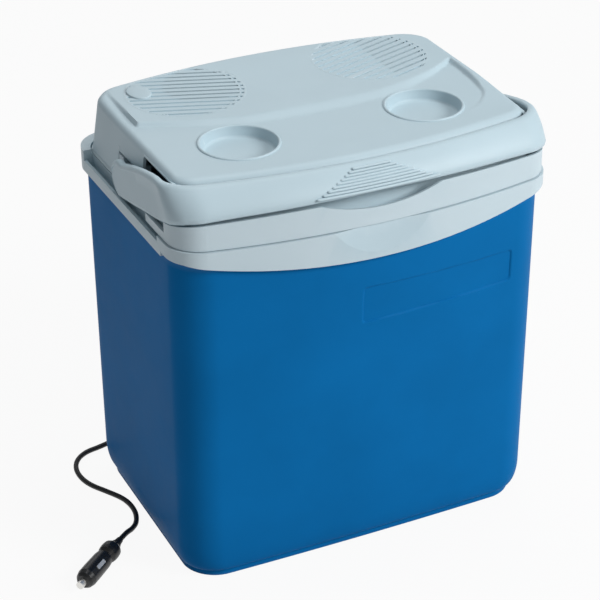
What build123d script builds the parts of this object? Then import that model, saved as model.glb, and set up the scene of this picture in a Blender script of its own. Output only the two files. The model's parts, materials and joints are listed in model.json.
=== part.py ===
"""A 12 volt thermoelectric cool box: an insulated tub with a collar, a hinged lid that holds the
cooling unit, a carrying bail folded round the front of the lid, and a lead with a socket plug.

Millimetres. +Z is up, the front faces -Y, and the origin is the middle of the resting face.
"""

from build123d import *
from math import cos, pi, radians, sin, tan
import os

os.makedirs("parts", exist_ok=True)

# ---------------------------------------------------------------- driving dimensions
width = 400.0            # over the collar
front_reach = 164.0      # middle of the collar's bowed front, from the origin
rear_reach = 159.0       # middle of the collar's bowed rear
top_bow = 25.0           # how far front and rear bow out at collar height
base_bow = 3.0           # the same at the foot
corner = 36.0            # upright corners of the collar
collar_top = 379.0       # height of the collar's front lip
lid_rise = 59.0          # from the collar's lip to the rim of the lid
platform_rise = 4.0      # raised rear field of the lid top

# tub
shell_wall = 3.0
tub_inset = 3.5          # tub behind the collar's outside face
foot_inset = 12.0        # foot ring behind the collar's outside face
foot_height = 10.0
belly_height = 36.0      # where the rounded bottom meets the main wall
belly_inset = 4.5
belly_depth = 274.0      # front to rear at the belly
foam = 22.0              # insulation between shell and liner
liner_wall = 2.0
fit_gap = 0.2            # between fixed mouldings

# collar
collar_wall = 3.0
collar_side_low = 361.5  # lower edge at the sides
collar_front_low = 345.0
collar_corner_low = 366.0
rim_top = 373.5          # outer rim beside the gutter
gutter_floor = 366.0
gutter_inner = 190.5     # half width of the gutter's inner wall
gutter_front = -92.0
gutter_rear = 104.0
rear_rim_top = 384.0
land_drop = 2.5          # step that the lid seal lies over
scoop_half = 63.0        # finger scoop in the front of the collar
scoop_depth = 28.0
scoop_reach = 5.0         # depth of the scoop at the lip

# lid
lid_clear = 1.0          # lid base above the collar's lip
lid_side_low = 190.5     # half width at the foot of the lid wall
lid_side_top = 185.2
lid_front_low = 147.0
lid_front_top = 130.4
lid_rear_low = 144.5
lid_rear_top = 134.5
lid_bow = 22.0
lid_corner_low = 28.0
lid_corner_top = 16.0
lid_wall = 2.5
base_plate = 3.0
skirt_inset = 2.0
skirt_end = -60.0        # rear end of the skirt band on the sides
dip_half = 66.0
dip_depth = 12.0
cup_x = 99.0
cup_y = -55.0
cup_radius = 37.0
cup_depth = 10.0
platform_half = 167.0
platform_side_y = 19.0
platform_mid_y = -29.0

# grilles and fans
grille_x = 103.0
grille_y = 71.0
slot_pitch = 9.2
slot_width = 3.0
slot_turn = 20.0
outlet_x = -79.0         # hot fan and the open round of its grille
outlet_y = 79.0
outlet_radius = 40.0
inlet_radius = 52.0
hot_fan_size = 80.0
hot_fan_depth = 25.0
cold_fan_size = 60.0
cold_fan_depth = 12.0

# lid hinge
hinge_y = 147.0
hinge_z = 386.0
hinge_x = 112.0
knuckle_radius = 5.0
knuckle_length = 10.0
knuckle_gap = 0.4
pin_radius = 2.0
run_gap = 0.05

# carrying bail
bail_half = 199.5
bail_thick = 8.0
bail_pivot_y = 7.0
bail_pivot_z = 393.5
bail_end_radius = 19.5
bail_low_z = 411.5       # lower edge at the front
bail_high_z = 436.0      # upper edge at the front
bail_low_front = 163.5
bail_high_front = 142.0  # outside face at the upper edge
bail_corner = 32.0
pivot_radius = 5.0
hub_radius = 10.0
pocket_back = 179.5
pocket_front_y = -24.0
pocket_rear_y = 33.0
pocket_top = 415.0
ear_x = 186.0
ear_thick = 4.5

# lead
lead_radius = 2.75
floor_z = 3.2            # centre line of the lead on the floor

# hinge bays, ears and the lead's way out
pin_fit = 0.02           # pins held in their bores
hinge_span = 1.5 * knuckle_length + knuckle_gap
bay_clear = 1.0
ear_rear = 30.5
ear_post = 5.5
ear_head = 19.0
ear_top = 409.0
ear_head_depth = 5.2
skirt_gap = 2.3          # skirt's lip below the bail
grip_front = -106.0      # openings in the lid's sides
grip_rear = -32.0
grip_low = 388.0
grip_high = 432.0
grip_corner = 9.0
boss_end = 190.8
hook_reach = 14.0
hook_overlap = 1.0
hook_turn = 78.0         # the hooks point up when the bail is folded forward
post_radius = 4.5
screw_radius = 1.5
head_radius = 3.2
head_height = 2.2
screw_reach = 18.0
exit_x = -60.0
exit_z = 397.0
gland_radius = 5.0
gland_y = 142.0          # flat face that the lead's gland seats on
gland_boss = 9.0
gland_wall = 3.0
gland_flange = 7.0
sleeve_drop = 15.0       # degrees that the lead leaves the gland below level
sleeve_length = 15.0
notch_half = 14.0
notch_front = 147.5
notch_floor = gutter_floor

# cooling unit
cold_y = 76.0
spacer_size = 40.0
sink_low = 392.0
sink_width = 110.0
sink_depth = 88.0
board_x = 60.0
board_y = 62.0
board_width = 84.0
board_depth = 56.0
board_low = 390.0
board_thick = 1.6
plug_depth = 22.0        # inner panel's plug below the lid base
panel_clear = 4.0        # plug to mouth
seal_width = 9.0
peltier_thick = 4.0
sink_base = 5.0
sink_fin = 11.0
fin_thick = 1.5
fin_pitch = 7.0
cold_sink_size = 68.0
cold_base = 4.0
cold_fin = 13.0
grille_cover_size = 72.0
screw_places = [(-145, -90), (145, -90), (-145, 90), (145, 90), (0, -108), (0, 118)]
grip_y = (grip_front, grip_rear)

lid_low = collar_top + lid_clear
lid_top = collar_top + lid_rise
plate_top = lid_low + base_plate
top_wall = 2.5


def blend(low, high, share):
    """The value a share of the way from low to high."""
    return low + (high - low) * share


def outline(half, front, rear, bow, radius):
    """A plan outline with straight sides, bowed front and rear and rounded corners."""
    with BuildSketch() as plan:
        with BuildLine():
            Line((half, -front + bow), (half, rear - bow))
            ThreePointArc((half, rear - bow), (0, rear), (-half, rear - bow))
            Line((-half, rear - bow), (-half, -front + bow))
            ThreePointArc((-half, -front + bow), (0, -front), (half, -front + bow))
        make_face()
        fillet(plan.vertices(), radius)
    return plan.sketch


def collar_outline(inset=0.0):
    """The collar's plan, moved in by an inset."""
    radius = max(corner - inset, 8)
    return outline(width / 2 - inset, front_reach - inset, rear_reach - inset, top_bow, radius)


def tub_outline(z, inset=0.0):
    """The tub's plan between the belly and the collar, moved in by an inset."""
    share = (z - belly_height) / (collar_top - belly_height)
    half = blend(width / 2 - belly_inset, width / 2 - tub_inset, share)
    front = blend(belly_depth / 2, front_reach - tub_inset, share)
    rear = blend(belly_depth / 2, rear_reach - tub_inset, share)
    bow = blend(base_bow, top_bow, share)
    return outline(half - inset, front - inset, rear - inset, bow, max(corner - inset, 8))


def foot_outline(inset=0.0):
    """The foot ring's plan, moved in by an inset."""
    reach = belly_depth / 2 - (foot_inset - belly_inset) - inset
    return outline(width / 2 - foot_inset - inset, reach, reach, base_bow, corner - inset)


def lid_outline(z, inset=0.0):
    """The lid cover's plan between its foot and its rim, moved in by an inset."""
    share = (z - lid_low) / (lid_top - lid_low)
    return outline(
        blend(lid_side_low, lid_side_top, share) - inset,
        blend(lid_front_low, lid_front_top, share) - inset,
        blend(lid_rear_low, lid_rear_top, share) - inset,
        lid_bow,
        max(blend(lid_corner_low, lid_corner_top, share) - inset, 5),
    )


def skirt_outline(inset=0.0):
    """The skirt band's plan, moved in by an inset."""
    return collar_outline(skirt_inset + inset)


def bail_outline(z, inset=0.0):
    """The bail's plan at a height: its front leans back towards the top."""
    share = (z - bail_low_z) / (bail_high_z - bail_low_z)
    reach = blend(bail_low_front, bail_high_front, share) - inset
    return outline(bail_half - inset, reach, reach, lid_bow, bail_corner - inset)


def prism(plan, low, high):
    """A plan carried straight up between two heights."""
    with BuildPart() as piece:
        with BuildSketch(Plane.XY.offset(low)):
            add(plan)
        extrude(amount=high - low)
    return piece.part


def taper(plan_low, low, plan_high, high):
    """A straight-sided loft between two plans at two heights."""
    with BuildPart() as piece:
        with BuildSketch(Plane.XY.offset(low)):
            add(plan_low)
        with BuildSketch(Plane.XY.offset(high)):
            add(plan_high)
        loft(ruled=True)
    return piece.part


def block(x, y, z):
    """A box given by its lowest and highest value along each axis."""
    with BuildPart() as piece:
        with Locations(((x[0] + x[1]) / 2, (y[0] + y[1]) / 2, (z[0] + z[1]) / 2)):
            Box(x[1] - x[0], y[1] - y[0], z[1] - z[0])
    return piece.part


def rod(radius, start, direction, length):
    """A round bar from a point along a direction."""
    with BuildPart() as piece:
        with BuildSketch(Plane(origin=start, z_dir=direction)):
            Circle(radius)
        extrude(amount=length)
    return piece.part


def side_span(side, inner, outer):
    """The X range between two distances from the middle, on the left (-1) or right (1)."""
    return (min(side * inner, side * outer), max(side * inner, side * outer))


def hinge_bay(side):
    """Ranges of the recess that one hinge turns in."""
    reach = hinge_span + bay_clear
    x = (side * hinge_x - reach, side * hinge_x + reach)
    return x, (hinge_y - 16, hinge_y + knuckle_radius + bay_clear), (collar_top, rear_rim_top + 20)


def save(part, name):
    """Labels a finished sub-part and writes it to its own STEP file."""
    part.label = name
    export_step(part, f"parts/{name}.step")


# ================================================================ tub
liner_inset = shell_wall + foam
web_low = gutter_floor - collar_wall      # underside of the collar's gutter
tub_top = web_low - fit_gap
belly_foot = foot_outline(-(foot_inset - belly_inset) / 2)
with BuildPart() as body_shell:
    add(prism(foot_outline(), 0, foot_height))
    add(taper(belly_foot, foot_height, tub_outline(belly_height), belly_height))
    add(taper(tub_outline(belly_height), belly_height, tub_outline(tub_top), tub_top))
    cavity_low = tub_outline(belly_height, shell_wall)
    cavity_top = tub_outline(tub_top, shell_wall)
    add(taper(foot_outline(shell_wall), shell_wall, cavity_low, belly_height), mode=Mode.SUBTRACT)
    add(taper(cavity_low, belly_height, cavity_top, tub_top), mode=Mode.SUBTRACT)
save(body_shell.part, "body_shell")

with BuildPart() as body_insulation:
    skin = shell_wall + fit_gap
    foot_skin = foot_outline(shell_wall + fit_gap)
    add(taper(foot_skin, skin, tub_outline(belly_height, skin), belly_height))
    add(taper(tub_outline(belly_height, skin), belly_height, tub_outline(tub_top, skin), tub_top))
    bin_low = tub_outline(belly_height, liner_inset - fit_gap)
    bin_top = tub_outline(tub_top, liner_inset - fit_gap)
    add(taper(bin_low, belly_height, bin_top, tub_top), mode=Mode.SUBTRACT)
save(body_insulation.part, "body_insulation")

liner_low = belly_height + fit_gap
liner_floor = liner_low + liner_wall
with BuildPart() as inner_liner:
    add(taper(tub_outline(liner_low, liner_inset), liner_low, tub_outline(tub_top, liner_inset), tub_top))
    bin_inset = liner_inset + liner_wall
    bin_low = tub_outline(liner_floor, bin_inset)
    bin_top = tub_outline(tub_top, bin_inset)
    add(taper(bin_low, liner_floor, bin_top, tub_top), mode=Mode.SUBTRACT)
save(inner_liner.part, "inner_liner")

# ================================================================ collar
mouth_inset = tub_inset + liner_inset + liner_wall + 0.5
gutter_inset = width / 2 - gutter_inner
plate_low = collar_top - land_drop - collar_wall
scoop_radius = (scoop_half**2 + scoop_depth**2) / (2 * scoop_depth)
scoop_axis_z = collar_top + scoop_radius - scoop_depth
far = width                               # longer than anything that it cuts
with BuildPart() as top_collar:
    add(prism(collar_outline(), collar_front_low, rear_rim_top))
    # the channel that the tub's edge stands in, and the box section above it
    add(prism(collar_outline(collar_wall), collar_front_low - 1, web_low), mode=Mode.SUBTRACT)
    with BuildSketch(Plane.XY.offset(web_low)):
        add(collar_outline(gutter_inset + collar_wall))
        add(collar_outline(mouth_inset - collar_wall), mode=Mode.SUBTRACT)
    extrude(amount=plate_low - web_low, mode=Mode.SUBTRACT)
    # lip, seal land and mouth
    add(block((-far, far), (-far, gutter_rear), (collar_top, far * 2)), mode=Mode.SUBTRACT)
    add(prism(lid_outline(lid_low, -1.5), collar_top, far * 2), mode=Mode.SUBTRACT)
    land = prism(collar_outline(gutter_inset + collar_wall + 1), collar_top - land_drop, far * 2)
    add(land, mode=Mode.SUBTRACT)
    add(prism(collar_outline(mouth_inset), 0, far * 2), mode=Mode.SUBTRACT)
    # gutters beside the lid
    for side in (-1, 1):
        with BuildSketch(Plane.XY.offset(gutter_floor)):
            gutter_middle = (width / 2 - collar_wall + gutter_inner) / 2
            with Locations((side * gutter_middle, (gutter_front + gutter_rear) / 2)):
                Rectangle(width / 2 - collar_wall - gutter_inner, gutter_rear - gutter_front)
        extrude(amount=far, mode=Mode.SUBTRACT)
        with BuildSketch(Plane.XY.offset(rim_top)):
            with Locations((side * (width / 2 + gutter_inner) / 2, (gutter_front + gutter_rear) / 2)):
                Rectangle(width / 2 - gutter_inner, gutter_rear - gutter_front)
        extrude(amount=far, mode=Mode.SUBTRACT)
    # lower edge: level at the sides, a shallow smile across the front
    add(block((-far, far), (gutter_front - 8, far), (0, collar_side_low)), mode=Mode.SUBTRACT)
    with BuildSketch(Plane.XZ.offset(-(gutter_front - 8))):
        with BuildLine():
            smile_end = width / 2 - corner / 4
            ThreePointArc(
                (-smile_end, collar_corner_low), (0, collar_front_low), (smile_end, collar_corner_low)
            )
            Polyline(
                (smile_end, collar_corner_low), (far, collar_corner_low), (far, 0),
                (-far, 0), (-far, collar_corner_low), (-smile_end, collar_corner_low),
            )
        make_face()
    extrude(amount=far, mode=Mode.SUBTRACT)
    # finger scoop: a shallow cone that runs out at its foot
    scoop_plane = Plane(origin=(0, -front_reach, scoop_axis_z), z_dir=(0, 1, 0))
    with BuildSketch(scoop_plane.offset(-scoop_reach)):
        Circle(scoop_radius + scoop_depth)
    with BuildSketch(scoop_plane.offset(scoop_reach)):
        Circle(scoop_radius - scoop_depth)
    loft(ruled=True, mode=Mode.SUBTRACT)
    # recess in the rear rim for each hinge, and the notch that lets the lead drop when the lid is up
    for side in (-1, 1):
        add(block(*hinge_bay(side)), mode=Mode.SUBTRACT)
    notch_sides = (exit_x - notch_half, exit_x + notch_half)
    add(block(notch_sides, (notch_front, far), (notch_floor, far)), mode=Mode.SUBTRACT)
    # hinge knuckles with their feet
    for side in (-1, 1):
        for step in (-1, 1):
            centre_x = side * hinge_x + step * (knuckle_length + knuckle_gap)
            ends = (centre_x - knuckle_length / 2, centre_x + knuckle_length / 2)
            add(block(ends, (hinge_y - 3, hinge_y + knuckle_radius), (gutter_floor, hinge_z)))
            add(rod(knuckle_radius, (ends[0], hinge_y, hinge_z), (1, 0, 0), knuckle_length))
        start = (side * hinge_x - hinge_span, hinge_y, hinge_z)
        add(rod(pin_radius + pin_fit, start, (1, 0, 0), 2 * hinge_span), mode=Mode.SUBTRACT)
    # ears that the bail's hooks turn under
    for side in (-1, 1):
        ear_sides = (side * ear_x - ear_thick / 2, side * ear_x + ear_thick / 2)
        add(block(ear_sides, (ear_rear - ear_post, ear_rear), (gutter_floor, ear_top)))
        add(block(ear_sides, (ear_head, ear_rear), (ear_top - ear_head_depth, ear_top)))
save(top_collar.part, "top_collar")

with BuildPart() as hinge_pins:
    for side in (-1, 1):
        start = (side * hinge_x - hinge_span + 0.5, hinge_y, hinge_z)
        add(rod(pin_radius, start, (1, 0, 0), 2 * hinge_span - 1))
save(hinge_pins.part, "hinge_pins")

# ================================================================ lid: base, cover, inner parts
bail_slope = 13.0                         # rise of the bail's arms towards the front
low_tangent = (
    bail_pivot_y + bail_end_radius * sin(radians(bail_slope)),
    bail_pivot_z - bail_end_radius * cos(radians(bail_slope)),
)
arm_rise = tan(radians(bail_slope))
bend_y = bail_pivot_y - 108.0             # where arms turn into the front bar
bend_low = low_tangent[1] + (low_tangent[0] - bend_y) * arm_rise
front_y = -front_reach - 12.0
front_low = bail_low_z + 2.0


def under_bail(drop):
    """The side profile (Y across, Z up) below the bail's lower edge, lowered by a drop."""
    with BuildSketch() as profile:
        with BuildLine():
            Polyline(
                (front_y, front_low - drop), (bend_y, bend_low - drop),
                (low_tangent[0], low_tangent[1] - drop), (low_tangent[0], 0), (front_y, 0),
                (front_y, front_low - drop),
            )
        make_face()
    return profile.sketch


with BuildPart() as skirt_space:
    with BuildSketch(Plane.YZ.offset(-far)):
        add(under_bail(skirt_gap))
    extrude(amount=2 * far)
dip_radius = (dip_half**2 + dip_depth**2) / (2 * dip_depth)
with BuildPart() as lid_base:
    # skirt band under the bail
    add(prism(skirt_outline(), lid_low, collar_top + 40))
    add(prism(skirt_outline(lid_wall), plate_top, far * 2), mode=Mode.SUBTRACT)
    add(block((-far, far), (skirt_end, far), (0, far * 2)), mode=Mode.SUBTRACT)
    add(skirt_space.part, mode=Mode.INTERSECT)
    dip_centre = (0, -front_reach - 5, bail_low_z - skirt_gap + dip_radius - dip_depth)
    add(rod(dip_radius, dip_centre, (0, 1, 0), 25), mode=Mode.SUBTRACT)
    for side in (-1, 1):
        add(block(side_span(side, gutter_inner + 0.5, far), grip_y, (grip_low, far * 2)), mode=Mode.SUBTRACT)
    # plate
    add(prism(lid_outline(lid_low), lid_low, plate_top))
    with BuildSketch(Plane.XY.offset(lid_low)):
        with Locations((outlet_x, cold_y)):
            Rectangle(spacer_size + 16, spacer_size + 16)
        with Locations(*screw_places):
            Circle(screw_radius + 0.3)
    extrude(amount=base_plate, mode=Mode.SUBTRACT)
    for side in (-1, 1):
        bay = side_span(side, pocket_back, far)
        add(block(bay, (pocket_front_y, pocket_rear_y), (lid_low, plate_top)), mode=Mode.SUBTRACT)
    # posts for the heat sink and the circuit board
    with BuildSketch(Plane.XY.offset(plate_top)):
        with Locations((outlet_x, cold_y)):
            with GridLocations(sink_width - 12, sink_depth - 12, 2, 2):
                Circle(4)
    extrude(amount=sink_low - plate_top)
    with BuildSketch(Plane.XY.offset(plate_top)):
        with Locations((board_x, board_y)):
            with GridLocations(board_width - 10, board_depth - 10, 2, 2):
                Circle(3)
    extrude(amount=board_low - plate_top)
    # hinge knuckles
    for side in (-1, 1):
        ends = (side * hinge_x - knuckle_length / 2, side * hinge_x + knuckle_length / 2)
        add(block(ends, (hinge_y - 16, hinge_y), (lid_low, plate_top)))
        start = (ends[0], hinge_y, hinge_z)
        add(rod(knuckle_radius, start, (1, 0, 0), knuckle_length))
        add(rod(pin_radius + run_gap, start, (1, 0, 0), knuckle_length), mode=Mode.SUBTRACT)
save(lid_base.part, "lid_base")


def slots(x, y, radius, turn, count):
    """A round field of parallel slots."""
    with BuildSketch() as field:
        with Locations(Location((x, y, 0), (0, 0, turn))):
            with GridLocations(1, slot_pitch, 1, count):
                Rectangle(2 * radius, slot_width)
        with Locations((x, y)):
            Circle(radius, mode=Mode.INTERSECT)
    return field.sketch


def platform_plan(inset):
    """The raised rear field of the lid top, with its front edge bowed forward."""
    with BuildSketch() as plan:
        with BuildLine():
            half = platform_half - inset
            ThreePointArc(
                (-half, platform_side_y + inset), (0, platform_mid_y + inset), (half, platform_side_y + inset)
            )
            side_y = platform_side_y + inset
            Polyline((half, side_y), (half, far), (-half, far), (-half, side_y))
        make_face()
        add(lid_outline(lid_top, inset + 1.5), mode=Mode.INTERSECT)
    return plan.sketch


with BuildPart() as lid_cover:
    add(taper(lid_outline(plate_top), plate_top, lid_outline(lid_top), lid_top))
    add(prism(platform_plan(0), lid_top, lid_top + platform_rise))
    room_top = lid_top - top_wall
    add(
        taper(lid_outline(plate_top, lid_wall), plate_top, lid_outline(room_top, lid_wall), room_top),
        mode=Mode.SUBTRACT,
    )
    add(prism(platform_plan(lid_wall), room_top, room_top + platform_rise), mode=Mode.SUBTRACT)
    # cup recesses
    for side in (-1, 1):
        foot = lid_top - cup_depth - top_wall
        add(rod(cup_radius + lid_wall, (side * cup_x, cup_y, foot), (0, 0, 1), cup_depth + top_wall))
        add(rod(cup_radius, (side * cup_x, cup_y, lid_top - cup_depth), (0, 0, 1), far), mode=Mode.SUBTRACT)
    # grilles: the round hot-air outlet and the half round inlet
    with BuildSketch(Plane.XY.offset(room_top)):
        add(slots(outlet_x, outlet_y, outlet_radius, -slot_turn, 9))
    extrude(amount=far, mode=Mode.SUBTRACT)
    with BuildSketch(Plane.XY.offset(room_top)):
        add(slots(grille_x, grille_y, inlet_radius, slot_turn, 11))
        with Locations((grille_x + inlet_radius + 4, grille_y)):
            Rectangle(2 * inlet_radius, 3 * inlet_radius, mode=Mode.INTERSECT)
    extrude(amount=far, mode=Mode.SUBTRACT)
    # openings in the sides, and the pockets round the bail's pivots
    for side in (-1, 1):
        with BuildSketch(Plane.YZ.offset(side * (pocket_back - 20))):
            with Locations(((grip_rear + grip_front) / 2, (grip_low + grip_high) / 2)):
                RectangleRounded(grip_rear - grip_front, grip_high - grip_low, grip_corner)
        extrude(amount=side * 40, mode=Mode.SUBTRACT)
        wall_y = (pocket_front_y - lid_wall, pocket_rear_y + lid_wall)
        with BuildPart(mode=Mode.PRIVATE) as pocket_shell:
            wall_z = (plate_top, pocket_top + lid_wall)
            add(block(side_span(side, pocket_back - lid_wall, far), wall_y, wall_z))
            add(taper(lid_outline(plate_top), plate_top, lid_outline(lid_top), lid_top), mode=Mode.INTERSECT)
        add(pocket_shell.part)
        pocket_y = (pocket_front_y, pocket_rear_y)
        pocket = block(side_span(side, pocket_back, far), pocket_y, (plate_top, pocket_top))
        add(pocket, mode=Mode.SUBTRACT)
        boss_start = (side * (pocket_back - lid_wall), bail_pivot_y, bail_pivot_z)
        add(rod(hub_radius, boss_start, (side, 0, 0), boss_end - pocket_back + lid_wall))
        bore_start = (side * pocket_back, bail_pivot_y, bail_pivot_z)
        add(rod(pivot_radius + pin_fit, bore_start, (side, 0, 0), far), mode=Mode.SUBTRACT)
    # screw posts and the hole for the lead
    for x, y in screw_places:
        ceiling = room_top + (platform_rise if y > platform_side_y else 0)
        add(rod(post_radius, (x, y, plate_top), (0, 0, 1), ceiling - plate_top))
    with BuildSketch(Plane.XY.offset(plate_top)):
        with Locations(*screw_places):
            Circle(screw_radius + pin_fit)
    extrude(amount=screw_reach, mode=Mode.SUBTRACT)
    add(rod(gland_boss, (exit_x, gland_y - 6, exit_z), (0, 1, 0), 6))
    add(rod(gland_boss, (exit_x, gland_y - 40, exit_z), (0, 1, 0), 40 - gland_wall), mode=Mode.SUBTRACT)
    add(rod(gland_radius + pin_fit, (exit_x, gland_y - 20, exit_z), (0, 1, 0), 40), mode=Mode.SUBTRACT)
save(lid_cover.part, "lid_cover")

with BuildPart() as lid_screws:
    for x, y in screw_places:
        add(rod(head_radius, (x, y, lid_low - head_height), (0, 0, 1), head_height))
        add(rod(screw_radius, (x, y, lid_low - 0.5), (0, 0, 1), base_plate + screw_reach - 1.5))
save(lid_screws.part, "lid_screws")

panel_inset = mouth_inset + panel_clear
panel_low = lid_low - plug_depth
panel_floor = panel_low + liner_wall
with BuildPart() as lid_inner_panel:
    add(prism(collar_outline(panel_inset), panel_low, lid_low))
    add(prism(collar_outline(panel_inset + liner_wall), panel_floor, lid_low), mode=Mode.SUBTRACT)
    window = (cold_sink_size - 8) / 2
    window_y = (cold_y - window, cold_y + window)
    window_x = (outlet_x - window, outlet_x + window)
    add(block(window_x, window_y, (panel_low, panel_floor)), mode=Mode.SUBTRACT)
save(lid_inner_panel.part, "lid_inner_panel")

with BuildPart() as lid_insulation:
    add(prism(collar_outline(panel_inset + liner_wall + fit_gap), panel_floor + fit_gap, lid_low - fit_gap))
    room = cold_sink_size / 2 + 1.0
    room_y = (cold_y - room, cold_y + room)
    add(block((outlet_x - room, outlet_x + room), room_y, (panel_low, lid_low)), mode=Mode.SUBTRACT)
    for x, y in screw_places:
        add(rod(head_radius + 1, (x, y, lid_low - head_height - 2), (0, 0, 1), far), mode=Mode.SUBTRACT)
save(lid_insulation.part, "lid_insulation")

seal_inset = panel_inset - 2 - seal_width
with BuildPart() as lid_seal:
    with BuildSketch(Plane.XY.offset(collar_top - land_drop + 0.3)):
        add(collar_outline(seal_inset))
        add(collar_outline(seal_inset + seal_width), mode=Mode.SUBTRACT)
    extrude(amount=lid_clear + land_drop - 0.3)
save(lid_seal.part, "lid_seal")

# ================================================================ lid: thermoelectric unit
cold_sink_top = lid_low - 3.0
spacer_top = sink_low - peltier_thick


def square(x, y, size, low, high):
    """An upright square block centred on a point."""
    return block((x - size / 2, x + size / 2), (y - size / 2, y + size / 2), (low, high))


with BuildPart() as cold_heatsink:
    add(square(outlet_x, cold_y, cold_sink_size, cold_sink_top - cold_base, cold_sink_top))
    with BuildSketch(Plane.XY.offset(cold_sink_top - cold_base)):
        with Locations((outlet_x, cold_y)):
            with GridLocations(fin_pitch, 1, 9, 1):
                Rectangle(fin_thick, cold_sink_size)
    extrude(amount=-cold_fin)
save(cold_heatsink.part, "cold_heatsink")

with BuildPart() as spacer_block:
    add(square(outlet_x, cold_y, spacer_size, cold_sink_top, spacer_top))
save(spacer_block.part, "spacer_block")

with BuildPart() as peltier_module:
    add(square(outlet_x, cold_y, spacer_size, spacer_top, sink_low))
save(peltier_module.part, "peltier_module")

sink_top = sink_low + sink_base + sink_fin
with BuildPart() as hot_heatsink:
    sink_x = (outlet_x - sink_width / 2, outlet_x + sink_width / 2)
    sink_y = (cold_y - sink_depth / 2, cold_y + sink_depth / 2)
    add(block(sink_x, sink_y, (sink_low, sink_low + sink_base)))
    with BuildSketch(Plane.XY.offset(sink_low + sink_base)):
        with Locations((outlet_x + fin_pitch, cold_y)):
            with GridLocations(fin_pitch, 1, 12, 1):
                Rectangle(fin_thick, sink_depth)
    extrude(amount=sink_fin)
save(hot_heatsink.part, "hot_heatsink")

with BuildPart() as thermal_cutout:
    foot_x = (sink_x[0] + 2, sink_x[0] + 10)
    add(block(foot_x, (cold_y - 8, cold_y + 8), (sink_low + sink_base, sink_top - 4)))
save(thermal_cutout.part, "thermal_cutout")


def fan_frame(x, y, size, low, depth, motor_low, spindle):
    """A square fan housing with a round duct, corner holes, four struts and a spindle."""
    duct = size / 2 - 1.5
    with BuildPart() as frame:
        with BuildSketch(Plane.XY.offset(low)):
            with Locations((x, y)):
                RectangleRounded(size, size, 4)
                Circle(duct, mode=Mode.SUBTRACT)
                with GridLocations(size - 9, size - 9, 2, 2):
                    Circle(size / 36, mode=Mode.SUBTRACT)
        extrude(amount=depth)
        with BuildSketch(Plane.XY.offset(motor_low)):
            with Locations((x, y)):
                Circle(size * 0.2)
            for turn in (45, 135):
                with Locations(Location((x, y, 0), (0, 0, turn))):
                    Rectangle(2 * duct + 2, 4)
        extrude(amount=2)
        add(rod(1.5, (x, y, spindle[0]), (0, 0, 1), spindle[1] - spindle[0]))
    return frame.part


def fan_rotor(x, y, size, low, high):
    """A hub with a running bore and seven pitched blades."""
    height = high - low
    blade_reach = size / 2 - 3.0
    with BuildPart() as rotor:
        for step in range(7):
            angle = 360 / 7 * step
            out = (cos(radians(angle)), sin(radians(angle)), 0)
            middle = (x + out[0] * size * 0.15, y + out[1] * size * 0.15, (low + high) / 2)
            with BuildSketch(Plane(origin=middle, x_dir=(-out[1] * 0.8, out[0] * 0.8, 0.6), z_dir=out)):
                Rectangle(min(height * 1.3, size * 0.3), 1.2)
            extrude(amount=blade_reach - size * 0.15)
        add(rod(size * 0.2, (x, y, low), (0, 0, 1), height))
        with BuildSketch(Plane.XY.offset(low)):
            with Locations((x, y)):
                Circle(blade_reach)
        extrude(amount=height, mode=Mode.INTERSECT)
        add(rod(1.5 + run_gap, (x, y, low), (0, 0, 1), height - 1.5), mode=Mode.SUBTRACT)
    return rotor.part


fan_low = sink_top
fan_top = fan_low + hot_fan_depth
save(
    fan_frame(
        outlet_x, outlet_y, hot_fan_size, fan_low, hot_fan_depth, fan_low, (fan_low, fan_top - 5)
    ),
    "hot_fan_frame",
)
save(fan_rotor(outlet_x, outlet_y, hot_fan_size, fan_low + 2.5, fan_top - 3), "hot_fan_rotor")
cold_fan_low = panel_low - cold_fan_depth
save(
    fan_frame(
        outlet_x, cold_y, cold_fan_size, cold_fan_low, cold_fan_depth, cold_fan_low,
        (cold_fan_low, panel_low - 3.5),
    ),
    "cold_fan_frame",
)
save(fan_rotor(outlet_x, cold_y, cold_fan_size, cold_fan_low + 2.4, panel_low - 1.5), "cold_fan_rotor")

with BuildPart() as fan_screws:
    inset = (hot_fan_size - 9) / 2
    for side_x in (-1, 1):
        for side_y in (-1, 1):
            place = (outlet_x + side_x * inset, outlet_y + side_y * inset)
            add(rod(3.0, (*place, fan_top), (0, 0, 1), 2.0))
            add(rod(2.0, (*place, fan_low + 0.3), (0, 0, 1), fan_top - fan_low))
save(fan_screws.part, "fan_screws")

cover_low = cold_fan_low - 3.0
with BuildPart() as inner_fan_grille:
    add(square(outlet_x, cold_y, grille_cover_size, cover_low, panel_low))
    add(square(outlet_x, cold_y, grille_cover_size - 4, cover_low + 2, panel_low), mode=Mode.SUBTRACT)
    with BuildSketch(Plane.XY.offset(cover_low)):
        add(slots(outlet_x, cold_y, cold_fan_size / 2 - 2, 0, 7))
    extrude(amount=2, mode=Mode.SUBTRACT)
save(inner_fan_grille.part, "inner_fan_grille")

with BuildPart() as circuit_board:
    board_x_range = (board_x - board_width / 2, board_x + board_width / 2)
    board_y_range = (board_y - board_depth / 2, board_y + board_depth / 2)
    add(block(board_x_range, board_y_range, (board_low, board_low + board_thick)))
save(circuit_board.part, "circuit_board")

with BuildPart() as board_parts:
    board_top = board_low + board_thick
    add(block((board_x - 34, board_x - 16), (board_y - 22, board_y - 8), (board_top, board_top + 14)))
    add(rod(6, (board_x + 4, board_y - 12, board_top), (0, 0, 1), 16))
    add(rod(4, (board_x + 20, board_y - 14, board_top), (0, 0, 1), 12))
    add(block((board_x - 39, board_x - 29), (board_y + 2, board_y + 24), (board_top, board_top + 10)))
    add(block((board_x, board_x + 22), (board_y + 8, board_y + 14), (board_top, board_top + 18)))
save(board_parts.part, "board_parts")


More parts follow.
